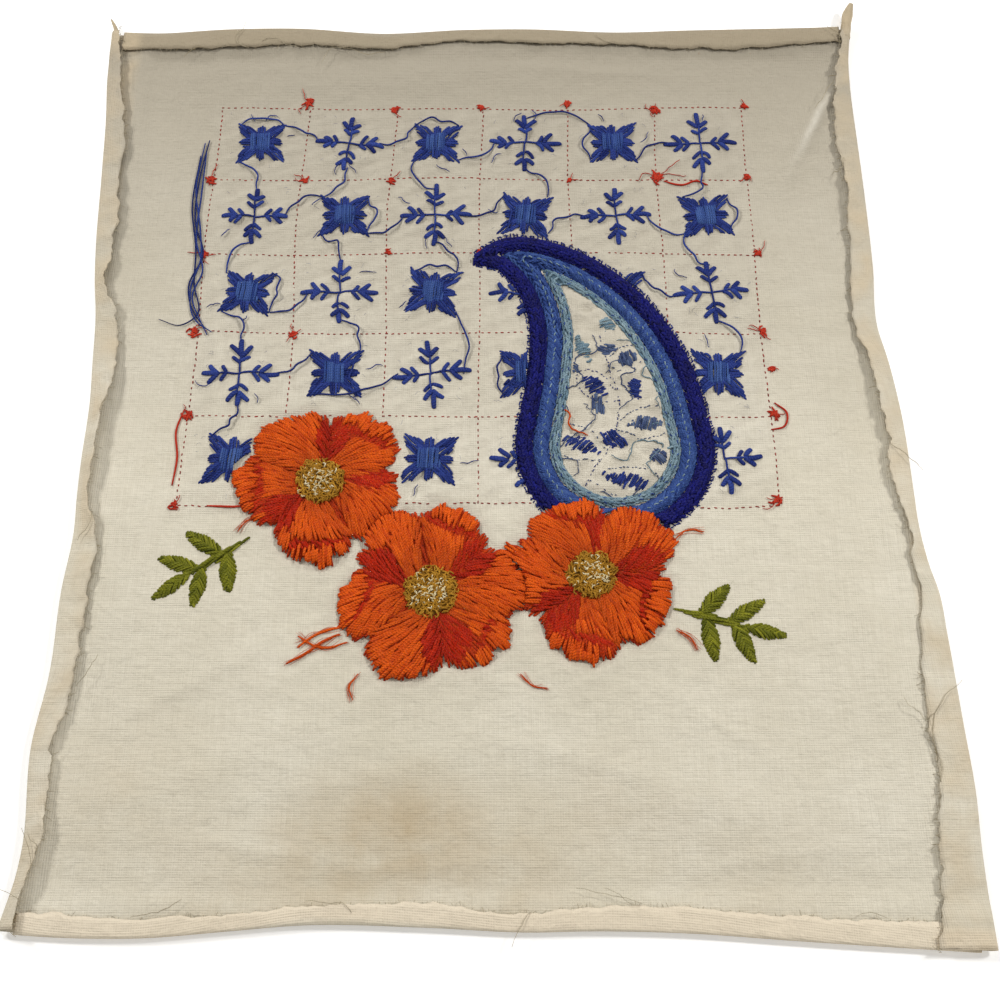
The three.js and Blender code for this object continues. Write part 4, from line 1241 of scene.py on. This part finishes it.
def build_middle_band():
    draw = np.random.default_rng(52)
    surface = band_top(MIDDLE_BAND, 1.6)
    reach = 105
    parts = [bed(in_band(MIDDLE_BAND, -1.6), surface, DROP_MIDDLE, reach, "mid_blue")]
    parts += ring_rows((10.2, 11.9, 13.6, 15.3, 16.8), lifted(surface, -0.1), "mid_blue", draw,
                       length=5.4, spacing=3.5, slant=0.3, wide=0.8, high=0.5)
    share = np.linspace(0, 1, 3000, endpoint=False)
    run = run_along(drop_outline(MIDDLE_BAND[0], share))
    at = np.interp(np.arange(0, run[-1], 1.15), run, share)
    at = at + draw.normal(0, 0.0006, len(at))
    # Two layers of satin stitch across the band: depths of its ends, and slip round the drop
    for layer, (near, far, slip) in enumerate(((9.6, 15.4, 0.010), (12.2, 17.2, 0.012))):
        start = drop_contour(near, at % 1)
        stop = drop_contour(far, (at + slip) % 1)
        start = start + draw.normal(0, 0.25, start.shape)
        stop = stop + draw.normal(0, 0.4, stop.shape)
        middles = (start + stop) / 2
        off_line = np.abs(drop_depth(*middles.T) - (near + far) / 2)
        fits = (np.linalg.norm(stop - start, axis=1) < 11) & (off_line < 2.4)
        kept = clear_of_blossoms(middles) & fits
        lines = lay(start[kept], stop[kept], lifted(surface, 0.15 * layer), steps=5, dip=0.5)
        parts.append(tubes(lines, 0.72, 0.5, dye("mid_blue", int(kept.sum()), draw)))
    parts += ring_rows((13.6,), lifted(surface, 0.55), "pale_blue", draw,
                       length=2.4, spacing=3.9, slant=0.3, wide=0.36, high=0.3)
    parts += fuzz(surface, in_band(MIDDLE_BAND), DROP_MIDDLE, reach, "mid_blue", 1100, draw)
    return parts


def build_inner_band():
    draw = np.random.default_rng(53)
    surface = band_top(INNER_BAND, 1.3)
    reach = 90
    parts = [bed(in_band(INNER_BAND, -0.4), surface, DROP_MIDDLE, reach, "pale_blue")]
    parts += ring_rows((18.7, 20.0, 21.3, 22.6), surface, "pale_blue", draw,
                       length=5.6, spacing=3.6, slant=0.12, wide=0.72, high=0.45)
    parts += ring_rows((19.4, 22.0), lifted(surface, 0.45), "mid_blue", draw,
                       length=2.6, spacing=8.5, slant=0.4, wide=0.34, high=0.3)
    parts += fuzz(surface, in_band(INNER_BAND), DROP_MIDDLE, reach, "pale_blue", 900, draw)
    return parts


add_piece("drop_rope", build_border(), wool_look, ["drop_border"])
add_piece("drop_satin", build_middle_band(), wool_look, ["drop_middle_band"])
add_piece("drop_rows", build_inner_band(), wool_look, ["drop_inner_band"])


# Fine work in the drop's hollow

HOLLOW, PATCH_HOLLOW = 24.2, 24.4  # depths in the drop where its lines and its patches may begin
# Loops and lines of broken back stitch
TRACERY = [
    [(46, -60), (54, -42), (66, -22), (71, 0), (66, 22), (62, 42)],
    [(60, -32), (46, -32), (37, -22), (42, -12), (56, -16), (63, -26)],
    [(68, -14), (82, -20), (96, -14), (97, -4), (82, -2), (70, -10)],
    [(71, 2), (60, 2), (50, 10), (50, 20), (62, 18), (69, 8)],
    [(66, 22), (76, 20), (84, 28), (82, 36), (72, 34), (65, 26)],
    [(54, -44), (70, -52), (86, -50), (90, -42), (76, -36), (60, -38)],
    [(102, -30), (107, -18), (102, -4)],
    [(33, -40), (28, -24), (32, -8)],
    [(64, -62), (82, -62), (96, -54)],
]
# Patches of sparse parallel stitches: middle, half length, half width, direction in degrees, dye
PATCH_DYES = ("slate", "blue", "pale_blue")
PATCHES = rows("x y long wide turn dye", [
    (50, -23, 12, 5, 158, 1), (84, -11, 12, 4.5, 4, 0), (58, 11, 9, 5, 140, 1),
    (76, 28, 8, 5, 40, 0), (74, -44, 14, 4.5, 168, 1), (67, -20, 5, 9, 60, 1),
    (66, 34, 4, 7, 100, 0), (90, -30, 6, 5, 70, 0), (42, -48, 6, 5, 20, 0),
    (62, -54, 7, 4, 10, 0), (38, -2, 9, 4, 84, 2), (94, 4, 12, 4.5, 100, 2),
    (52, 34, 10, 4, 118, 2), (66, 50, 6, 5, 130, 2), (46, 22, 5, 4, 60, 0),
    (80, 10, 7, 4, 96, 1), (104, -22, 5, 8, 0, 2), (34, -30, 5, 6, 60, 2), (60, 0, 4, 8, 20, 0),
])
# Grey and blue threads that wander over the hollow
WANDERING = [
    [(34, -12), (44, -4), (40, 8), (52, 14), (48, 28), (60, 32), (58, 44)],
    [(100, -8), (90, 2), (96, 12), (84, 18), (88, 28), (76, 40), (70, 38)],
    [(40, -52), (48, -34), (38, -28), (46, -18), (58, -8), (52, 2)],
    [(96, -46), (84, -36), (92, -24), (78, -22), (74, -32), (64, -30)],
    [(70, -4), (78, 4), (72, 14), (80, 20), (70, 26), (64, 18)],
    [(104, -34), (98, -26), (106, -14), (96, -10), (86, -12)],
    [(52, -60), (60, -50), (72, -56), (80, -48), (92, -54)],
]


def clear_hollow(points):
    """Whether points on the hollow's cloth are clear of the bands and blossoms"""
    return (drop_depth(*points.T[:2]) > HOLLOW) & clear_of_blossoms(points)


def build_tracery():
    draw = np.random.default_rng(54)
    parts = []
    surface = lifted(cloth, 0.12)
    for index, points in enumerate(TRACERY):
        line = curve(points, 400, surface)[0, :, :2]
        run = run_along(line)
        at = np.arange(0.5, run[-1], 2.1)
        at = at[draw.uniform(0, 1, len(at)) > 0.1]
        places, ahead = points_at(line, run, at), points_at(line, run, at + 0.4)
        turns = np.arctan2(*(ahead - places).T[::-1]) + draw.normal(0, 0.18, len(at))
        places = places + draw.normal(0, 0.22, places.shape)
        kept = clear_hollow(places)
        if kept.sum():
            lengths = draw.uniform(1.0, 1.8, kept.sum())
            shade = "slate" if index % 3 else "blue"
            parts.append(short_stitches(places[kept], turns[kept], lengths, surface, shade, draw,
                                        wide=0.34, high=0.3, steps=4, dip=0.3))
    for middle_x, middle_y, long, wide, turn, dyed in records(PATCHES):
        turn = math.radians(turn)
        leaf = (middle_x, middle_y, turn, long, wide)

        def patch(x, y):
            inside = leaf_share(leaf, x, y) < 0.95 + 0.2 * fine_crumple(x * 2, y * 2)
            return inside & (drop_depth(x, y) > PATCH_HOLLOW) & ~on_blossom(x, y, 1)

        shade = PATCH_DYES[int(dyed)]
        parts += fill(patch, (middle_x, middle_y), long + 2, turn + 1.2, 1.15, 6,
                      lifted(cloth, 0.3), shade, draw, high=0.34, dip=0.5)
    for index, points in enumerate(WANDERING):
        line = curve(points, 60, surface, 0.3)
        x, y = line[0, :, :2].T * 2
        line[0, :, :2] += 0.5 * np.stack([fine_crumple(x, y), tile_puff(x, y)], -1)
        kept = clear_hollow(line[0])
        if kept.sum() > 8:
            first, last = np.flatnonzero(kept)[[0, -1]]
            shade = "pale_blue" if index % 2 else "slate"
            parts.append(tubes(line[:, first:last], 0.36, 0.34, dye(shade, 1, draw)))
    stray = curve([(41, -1), (45, -6), (44, -11), (47, -15), (54, -18)], 24, surface, 0.7)
    parts.append(tubes(stray, 0.5, 0.45, dye("orange", 1, draw)))
    return parts


add_piece("hollow_tracery", build_tracery(), cotton_look)


# Leaf sprays


def build_spray(spray):
    draw = np.random.default_rng(int(500 + spray["x"]))
    parts = []
    for index, leaf in enumerate(spray_leaves(spray)):
        middle_x, middle_y, turn, long, wide = leaf

        def region(x, y):
            return (leaf_share(leaf, x, y) < 0.98) & ~on_blossom(x, y, 1.0)

        def surface(x, y):
            share = np.clip(leaf_share(leaf, x, y), 0, 1)
            pad = swell(x, y) + SEATED - 0.5 + lerp(1.7, 0.6, share * share)
            return lerp(cloth(x, y) + 0.3, pad, smoothstep((1 - share) * wide, 0, 1.6))

        middle = (middle_x, middle_y)
        parts.append(bed(region, surface, middle, long, "green", pitch=0.8, drop=0.4))
        if index == 0:
            parts += fill(region, middle, long, turn + 0.12, 1.2, 8, surface, "green", draw,
                          high=0.5, dip=0.4)
            continue
        for side in (-1, 1):
            def half(x, y):
                aside = (y - middle_y) * math.cos(turn) - (x - middle_x) * math.sin(turn)
                return region(x, y) & (side * aside > -0.5)

            parts += fill(half, middle, long, turn + side * 0.62, 1.15, 9, surface, "green", draw,
                          high=0.48, dip=0.6)

    def everywhere(x, y):
        return np.any([leaf_share(leaf, x, y) < 1 for leaf in spray_leaves(spray)], axis=0)

    parts += fuzz(lifted(cloth, 1.4), everywhere, (spray["x"], spray["y"]), 60, "green", 600,
                  draw, longest=3.0)
    return parts


for spray in SPRAYS:
    name = spray["name"]
    add_piece(f"spray_{name}", build_spray(spray), wool_look, [f"leaves_{name}"])


# Lattice of running stitch and the motifs in its cells


def keep_clear(places):
    return ~is_covered(*places.T, 0.5)


def build_lattice():
    draw = np.random.default_rng(61)
    wander = waves(62, 120, 4)
    parts = []
    far_x, near_y = LATTICE_LEFT + CELL * LATTICE_COLUMNS, LATTICE_FAR - CELL * LATTICE_ROWS
    across = [LATTICE_LEFT + CELL * i for i in range(LATTICE_COLUMNS + 1)]
    down = [LATTICE_FAR - CELL * j for j in range(LATTICE_ROWS + 1)]
    lines = [((x, near_y), (x, LATTICE_FAR)) for x in across]
    lines += [((LATTICE_LEFT, y), (far_x, y)) for y in down]
    surface = lifted(cloth, 0.06)
    for start, stop in lines:
        start, stop = np.array(start, float), np.array(stop, float)
        length = np.linalg.norm(stop - start)
        at = np.arange(1, length, 3.5)
        at = at + draw.normal(0, 0.18, len(at))
        places = start + (stop - start) * (at / length)[:, None]
        upright = start[0] == stop[0]
        sway = np.array([1.1, 0.3]) if upright else np.array([0.3, 1.1])
        x, y = places.T
        places = places + np.stack([wander(x, y), wander(y, x)], -1) * sway
        places = places + draw.normal(0, 0.12, places.shape)
        places = places[keep_clear(places)]
        turn = (np.pi / 2 if upright else 0.0) + draw.normal(0, 0.12, len(places))
        lengths = draw.uniform(1.5, 2.3, len(places))
        parts.append(short_stitches(places, turn, lengths, surface, "lattice", draw,
                                    wide=0.4, high=0.34, steps=4, dip=0.35))
    return parts


# Red knots, with their size, and long red tails
KNOTS = rows("x y size", [
    (-105, 202, 1.4), (-54, 198, 1.2), (-3, 199, 1.0), (48, 202, 1.3), (99, 196, 1.0),
    (152, 200, 1.0), (-158, 147, 1.3), (-104, 147, 0.9), (-54, 146, 1.1), (99, 150, 1.9),
    (150, 149, 0.8), (-157, 96, 1.1), (-3, 97, 0.8), (-158, 45, 1.4), (-104, 44, 1.0),
    (152, 96, 1.2), (151, 46, 1.1), (-156, -5, 1.3), (-104, -6, 1.1), (153, -4, 1.6),
    (150, -54, 1.3), (-158, -57, 1.0), (-105, -57, 0.9), (48, 146, 0.7), (-54, 97, 0.7),
    (153, 23, 0.9), (99, 198, 1.1),
])
RED_TAILS = [
    [(-158, -2), (-161, -14), (-159, -30), (-160, -46)],
    [(-141, -57.5), (-130, -58), (-118, -56.8)],
    [(153, 2), (159, -4), (157, -12), (150, -14)],
    [(102, 146), (112, 143), (121, 146), (127, 143)],
]


def build_knots():
    """Red knots and tails where the lattice's threads begin and end"""
    draw = np.random.default_rng(63)
    parts = []
    for x, y, size in records(KNOTS):
        if is_covered(x, y, -2):
            continue
        count = int(5 + 4 * size)
        places = np.array([x, y]) + draw.normal(0, 0.75 * size, (count, 2))
        turns = draw.uniform(0, np.pi, count)
        lengths = draw.uniform(2.2, 4.2, count) * size
        parts.append(short_stitches(places, turns, lengths, lifted(cloth, 0.6), "red_cotton", draw,
                                    wide=0.55, high=0.5, dip=0.6, bow=0.8, sides=6))
        for _ in range(draw.integers(1, 4)):
            step = wander_steps(draw.uniform(0, 2 * np.pi), 0.4, 8, draw)
            step = step * draw.uniform(0.4, 1.1) * size
            flat = np.array([x, y]) + np.cumsum(step, axis=0)
            line = with_height(flat, cloth(*flat.T) + 0.7)[None]
            parts.append(tubes(line, 0.26, 0.24, dye("red_cotton", 1, draw), sides=4, ends=0.5))
    for points in RED_TAILS:
        line = curve(points, 26, cloth, 0.5)
        parts.append(tubes(line, 0.6, 0.5, dye("red_cotton", 1, draw)))
    return parts


def cell_middle(row, column):
    return np.array([LATTICE_LEFT + CELL * (column + 0.5), LATTICE_FAR - CELL * (row + 0.5)])


def build_star(middle, draw):
    """Eight satin kites round a square block"""
    size = draw.uniform(0.95, 1.04)
    tilt = draw.normal(0, 0.05)

    def surface(x, y):
        away = np.hypot(x - middle[0], y - middle[1]) / 18
        return cloth(x, y) + 0.35 + 0.9 * np.clip(1 - away, 0, 1)

    parts = []
    for arm in range(8):
        turn = tilt + arm * np.pi / 4
        widest = 4.0 if arm % 2 else 2.6
        tip = 20.5 if arm % 2 else 13.0
        way = direction(turn)

        def kite(x, y):
            dx, dy = (x - middle[0]) / size, (y - middle[1]) / size
            forward, aside = dx * way[0] + dy * way[1], np.abs(dy * way[0] - dx * way[1])
            belly = 9.5  # how far out the kite is widest
            blunt = np.minimum(1, 1.5 * (tip - forward) / (tip - belly))
            slim = widest * (0.45 + 0.55 * forward / belly)
            width = np.where(forward < belly, slim, widest * blunt)
            inside = (forward > 3.2) & (forward < tip) & (aside < np.maximum(width, 0.5))
            return inside & ~is_covered(x, y, 0)

        parts += fill(kite, middle, 22, turn, 1.2, 9, surface, "blue", draw, high=0.5, dip=0.6)

    def block(x, y):
        dx, dy = x - middle[0], y - middle[1]
        return (np.abs(dx) < 5.6) & (np.abs(dy) < 6.6) & ~is_covered(x, y, 0)

    parts += fill(block, middle, 9, np.pi / 2 + tilt, 1.1, 12, lifted(surface, 0.4), "mid_blue",
                  draw, dip=0.5)
    return parts


# Leaves on each arm of a sprig: place on the stem, swing from it, length and half width
SPRIG_LEAVES = [
    (11.5, 0, 8.6, 1.6), (10.2, 0.78, 7.6, 1.5), (10.2, -0.78, 7.6, 1.5),
    (6.2, 0.9, 6.2, 1.2), (6.2, -0.9, 6.2, 1.2),
]


def build_sprig(middle, draw):
    """Four stems, each with a spray of short leaf stitches"""
    size = draw.uniform(0.94, 1.05)
    tilt = draw.normal(0, 0.06)
    starts, stops, widths = [], [], []
    for arm in range(4):
        turn = tilt + arm * np.pi / 2
        way = direction(turn)
        side = np.array([-way[1], way[0]])
        starts.append(way * -0.8)
        stops.append(way * 12.5)
        widths.append(0.6)
        for root, swing, long, wide in SPRIG_LEAVES:
            leafway = math.cos(swing) * way + math.sin(swing) * side
            starts.append(way * root)
            stops.append(way * root + leafway * long * draw.uniform(0.85, 1.1))
            widths.append(wide)
    starts, stops = np.array(starts) * size + middle, np.array(stops) * size + middle
    starts = starts + draw.normal(0, 0.3, starts.shape)
    stops = stops + draw.normal(0, 0.45, stops.shape)
    clear = keep_clear((starts + stops) / 2)
    starts, stops, widths = starts[clear], stops[clear], np.array(widths)[clear]
    if not len(starts):
        return []
    centres = lay(starts, stops, lifted(cloth, 0.55), steps=7, dip=0.5,
                  bow=draw.normal(0, 0.35, len(starts)))
    return [tubes(centres, widths, 0.5, dye("blue", len(starts), draw), ends=0.25)]


def build_motifs():
    draw = np.random.default_rng(71)
    parts = []
    for row, column in CELLS:
        build = build_star if (row + column) % 2 == 0 else build_sprig
        parts += build(cell_middle(row, column), draw)
    return parts


# Threads carried across the cells: from row, column and arm to row, column and arm, with a bow;
# arms are eighths of a turn, odd on the stars and even on the sprigs, whose reach comes after
CARRIED = rows("row column arm row2 column2 arm2 bow", [
    (0, 0, 1, 0, 1, 4, 3), (0, 1, 0, 0, 2, 3, -6), (0, 2, 7, 0, 3, 4, -4), (0, 3, 2, 0, 4, 3, 7),
    (0, 4, 7, 0, 5, 4, 4), (0, 0, 5, 1, 0, 2, 5), (0, 1, 6, 1, 1, 3, 4), (0, 2, 5, 1, 2, 2, -6),
    (0, 3, 6, 1, 3, 1, 5), (0, 5, 6, 1, 5, 3, 6), (1, 0, 0, 1, 1, 3, 6), (1, 1, 7, 1, 2, 4, -5),
    (1, 2, 0, 1, 3, 3, -6), (1, 3, 7, 1, 4, 4, 5), (1, 4, 0, 1, 5, 5, -5), (1, 0, 6, 2, 0, 3, -5),
    (1, 1, 5, 2, 1, 2, 4), (2, 0, 7, 2, 1, 4, -5), (1, 5, 5, 2, 5, 2, -5), (2, 0, 5, 3, 0, 2, 5),
    (2, 1, 6, 3, 1, 1, 5), (3, 0, 0, 3, 1, 3, -4), (3, 0, 6, 4, 0, 3, 4), (1, 2, 6, 2, 2, 1, 4),
    (2, 4, 1, 2, 5, 4, -6), (2, 5, 6, 3, 5, 1, 5), (3, 5, 5, 4, 5, 2, -4), (0, 2, 3, 0, 2, 1, 4),
    (1, 1, 1, 1, 1, 7, 5), (0, 4, 3, 0, 4, 5, -4), (2, 0, 1, 2, 0, 7, 4), (1, 3, 3, 1, 3, 5, 4),
    (3, 1, 1, 3, 1, 7, -4), (0, 0, 3, 0, 0, 1, 5), (2, 2, 3, 2, 2, 1, 4), (1, 5, 1, 1, 5, 7, 4),
    (3, 3, 3, 3, 3, 5, -3), (2, 2, 7, 3, 2, 0, 4), (3, 1, 5, 3, 2, 4, -6),
])
ARM_REACH = {0: 17.5, 1: 18.0}
LINT, LOOSE_ENDS = 14, 44  # blue fibres in each cell, and loose blue ends in all
# Long blue threads that hang down beside the lattice
HANK = [
    [(-162.8, 172), (-165.2, 140), (-160.2, 112), (-158.2, 92),
     (-161.8, 72), (-157, 52), (-148, 45)],
    [(-161.4, 167), (-161.8, 134), (-161.6, 104), (-156.4, 84),
     (-160.4, 68), (-154, 51), (-150, 43)],
    [(-164.6, 163), (-166.2, 128), (-161.4, 98), (-160.2, 76),
     (-157, 55), (-165, 49), (-177, 52.5)],
    [(-160.4, 174), (-163.8, 146), (-163.2, 116), (-157.2, 96),
     (-163.0, 73), (-159, 58), (-152, 48)],
]
# Loose ends of orange wool beside the blossoms, with their half widths
ORANGE_TAILS = [
    ([(-70, -126), (-78, -130), (-86, -136), (-95, -141)], 0.8),
    ([(-68, -122), (-76, -124), (-84, -128), (-90, -133)], 0.7),
    ([(-66, -130), (-75, -133), (-82, -132), (-90, -127)], 0.6),
    ([(-112, -62), (-120, -66), (-124, -72)], 0.4),
    ([(94, -124), (101, -128), (104, -134)], 0.4),
    ([(96, -76), (103, -71), (111, -72)], 0.4),
    ([(-60, -146), (-64, -153), (-62, -159)], 0.4),
    ([(18, -146), (24, -152), (31, -153)], 0.35),
]


def arm_end(row, column, arm):
    reach, turn = ARM_REACH[arm % 2], arm * np.pi / 4
    return cell_middle(row, column) + reach * direction(turn)


def build_loose_threads():
    draw = np.random.default_rng(72)
    parts = []
    above = lifted(cloth, 0.9)
    for row, column, arm, row2, column2, arm2, bow in records(CARRIED):
        start, stop = arm_end(row, column, arm), arm_end(row2, column2, arm2)
        across = np.array([start[1] - stop[1], stop[0] - start[0]])
        across = across / np.linalg.norm(across)
        share = np.linspace(0, 1, 6)
        points = start + (stop - start) * share[:, None]
        points = points + across * (bow * np.sin(np.pi * share))[:, None]
        points[1:-1] += draw.normal(0, 0.9, (4, 2))
        line = curve(points, 34, above)
        if is_covered(*line[0, :, :2].T, 0).mean() > 0.3:
            continue
        line[0, :, 2] += 1.2 * np.sin(np.pi * np.linspace(0, 1, 34)) ** 2 - 0.4
        parts.append(tubes(line, 0.56, 0.5, dye("blue", 1, draw)))
    for points in HANK:
        line = curve(points, 70, above)
        parts.append(tubes(line, 0.5, 0.5, dye("blue", 1, draw) * 0.8, ends=0.5))
    for row, column in CELLS:
        parts += fuzz(lifted(cloth, 0.1), lambda x, y: ~is_covered(x, y, 0),
                      cell_middle(row, column), 20, "blue", LINT, draw, longest=5)
    for _ in range(LOOSE_ENDS):
        row, column = draw.integers(0, LATTICE_ROWS), draw.integers(0, LATTICE_COLUMNS)
        heading = draw.uniform(0, 2 * np.pi)
        start = cell_middle(row, column) + 15 * direction(heading)
        if is_covered(*start, 3):
            continue
        step = wander_steps(heading, 0.35, 9, draw) * draw.uniform(0.5, 1.3)
        flat = start + np.cumsum(step, axis=0)
        line = with_height(flat, above(*flat.T))[None]
        parts.append(tubes(line, 0.3, 0.28, dye("blue", 1, draw), sides=4))
    return parts


def build_orange_tails():
    """The orange tails, each with a few fibres that have come away from it"""
    draw = np.random.default_rng(73)
    parts = []
    for points, wide in ORANGE_TAILS:
        line = curve(points, 20, cloth, 0.6)
        parts.append(tubes(line, wide, wide * 0.85, dye("orange", 1, draw), ends=0.3))
        for _ in range(6):
            shaken = np.array(points) + draw.normal(0, 1.0, (len(points), 2))
            line = curve(shaken, 14, cloth, 0.7)
            parts.append(tubes(line, 0.12, 0.12, dye("orange", 1, draw), sides=4))
    return parts


stars = [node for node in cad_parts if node.startswith(("star_", "sprig_"))]
add_piece("lattice_dashes", build_lattice(), cotton_look)
add_piece("lattice_knots", build_knots(), cotton_look)
add_piece("motifs", build_motifs(), wool_look, stars)
add_piece("carried_threads", build_loose_threads(), wool_look)
add_piece("orange_tails", build_orange_tails(), wool_look)


# Floor, lights and camera

# Each light's azimuth from +X and elevation in degrees, distance and size, power and colour
SOFT_WHITE, WHITE = (1.0, 0.99, 0.975), (1, 1, 1)
LIGHTS = {
    "key": (14, 43, 1.5, 0.25, 11.6, SOFT_WHITE),
    "side": (160, 38, 1.5, 0.25, 10, SOFT_WHITE),
    "far": (98, 24, 1.5, 0.3, 7, WHITE),
    "overhead": (-90, 68, 1.8, 1.6, 6, WHITE),
}
WORLD_COLOUR, WORLD_STRENGTH = (1.0, 0.96, 0.89, 1), 0.22
# The camera's focal length and sensor, its elevation in degrees, and its distance from the point
# that it looks at
LENS, SENSOR = 46.8, 36
CAMERA_ELEVATION, CAMERA_DISTANCE, LOOK_AT = 66, 0.665, (0.0082, -0.0534, 0)


def add_floor():
    table = Nodes("table")
    table.set_inputs(table.shader, Base_Color=(0.95, 0.95, 0.95, 1), Roughness=0.8,
                     Emission_Color=(1.0, 0.99, 0.97, 1), Emission_Strength=0.2)
    bpy.ops.mesh.primitive_plane_add(size=40, location=(0, 0, 0))
    floor = bpy.context.object
    floor.name = "floor"
    floor.data.materials.append(table.material)


def add_light(name, azimuth, elevation, distance, size, power, colour):
    """An area light that looks at the middle of the sheet"""
    light = bpy.data.lights.new(name, "AREA")
    light.shape = "DISK"
    light.size = size
    light.energy = power
    light.color = colour
    lamp = bpy.data.objects.new(name, light)
    a, e = math.radians(azimuth), math.radians(elevation)
    outward = Vector((math.cos(a) * math.cos(e), math.sin(a) * math.cos(e), math.sin(e)))
    lamp.location = distance * outward
    lamp.rotation_euler = (-lamp.location).to_track_quat("-Z", "Y").to_euler()
    bpy.context.scene.collection.objects.link(lamp)


def add_camera():
    data = bpy.data.cameras.new("camera")
    data.lens = LENS
    data.sensor_width = SENSOR
    camera = bpy.data.objects.new("camera", data)
    elevation = math.radians(CAMERA_ELEVATION)
    back = Vector((0, -math.cos(elevation), math.sin(elevation)))
    camera.location = Vector(LOOK_AT) + back * CAMERA_DISTANCE
    camera.rotation_euler = (-back).to_track_quat("-Z", "Y").to_euler()
    bpy.context.scene.collection.objects.link(camera)
    bpy.context.scene.camera = camera


add_floor()
for name, values in LIGHTS.items():
    add_light(name, *values)
add_camera()
world = bpy.data.worlds.new("studio")
world.use_nodes = True
background = world.node_tree.nodes["Background"]
background.inputs["Color"].default_value = WORLD_COLOUR
background.inputs["Strength"].default_value = WORLD_STRENGTH
bpy.context.scene.world = world
bpy.context.scene.view_settings.view_transform = "Standard"
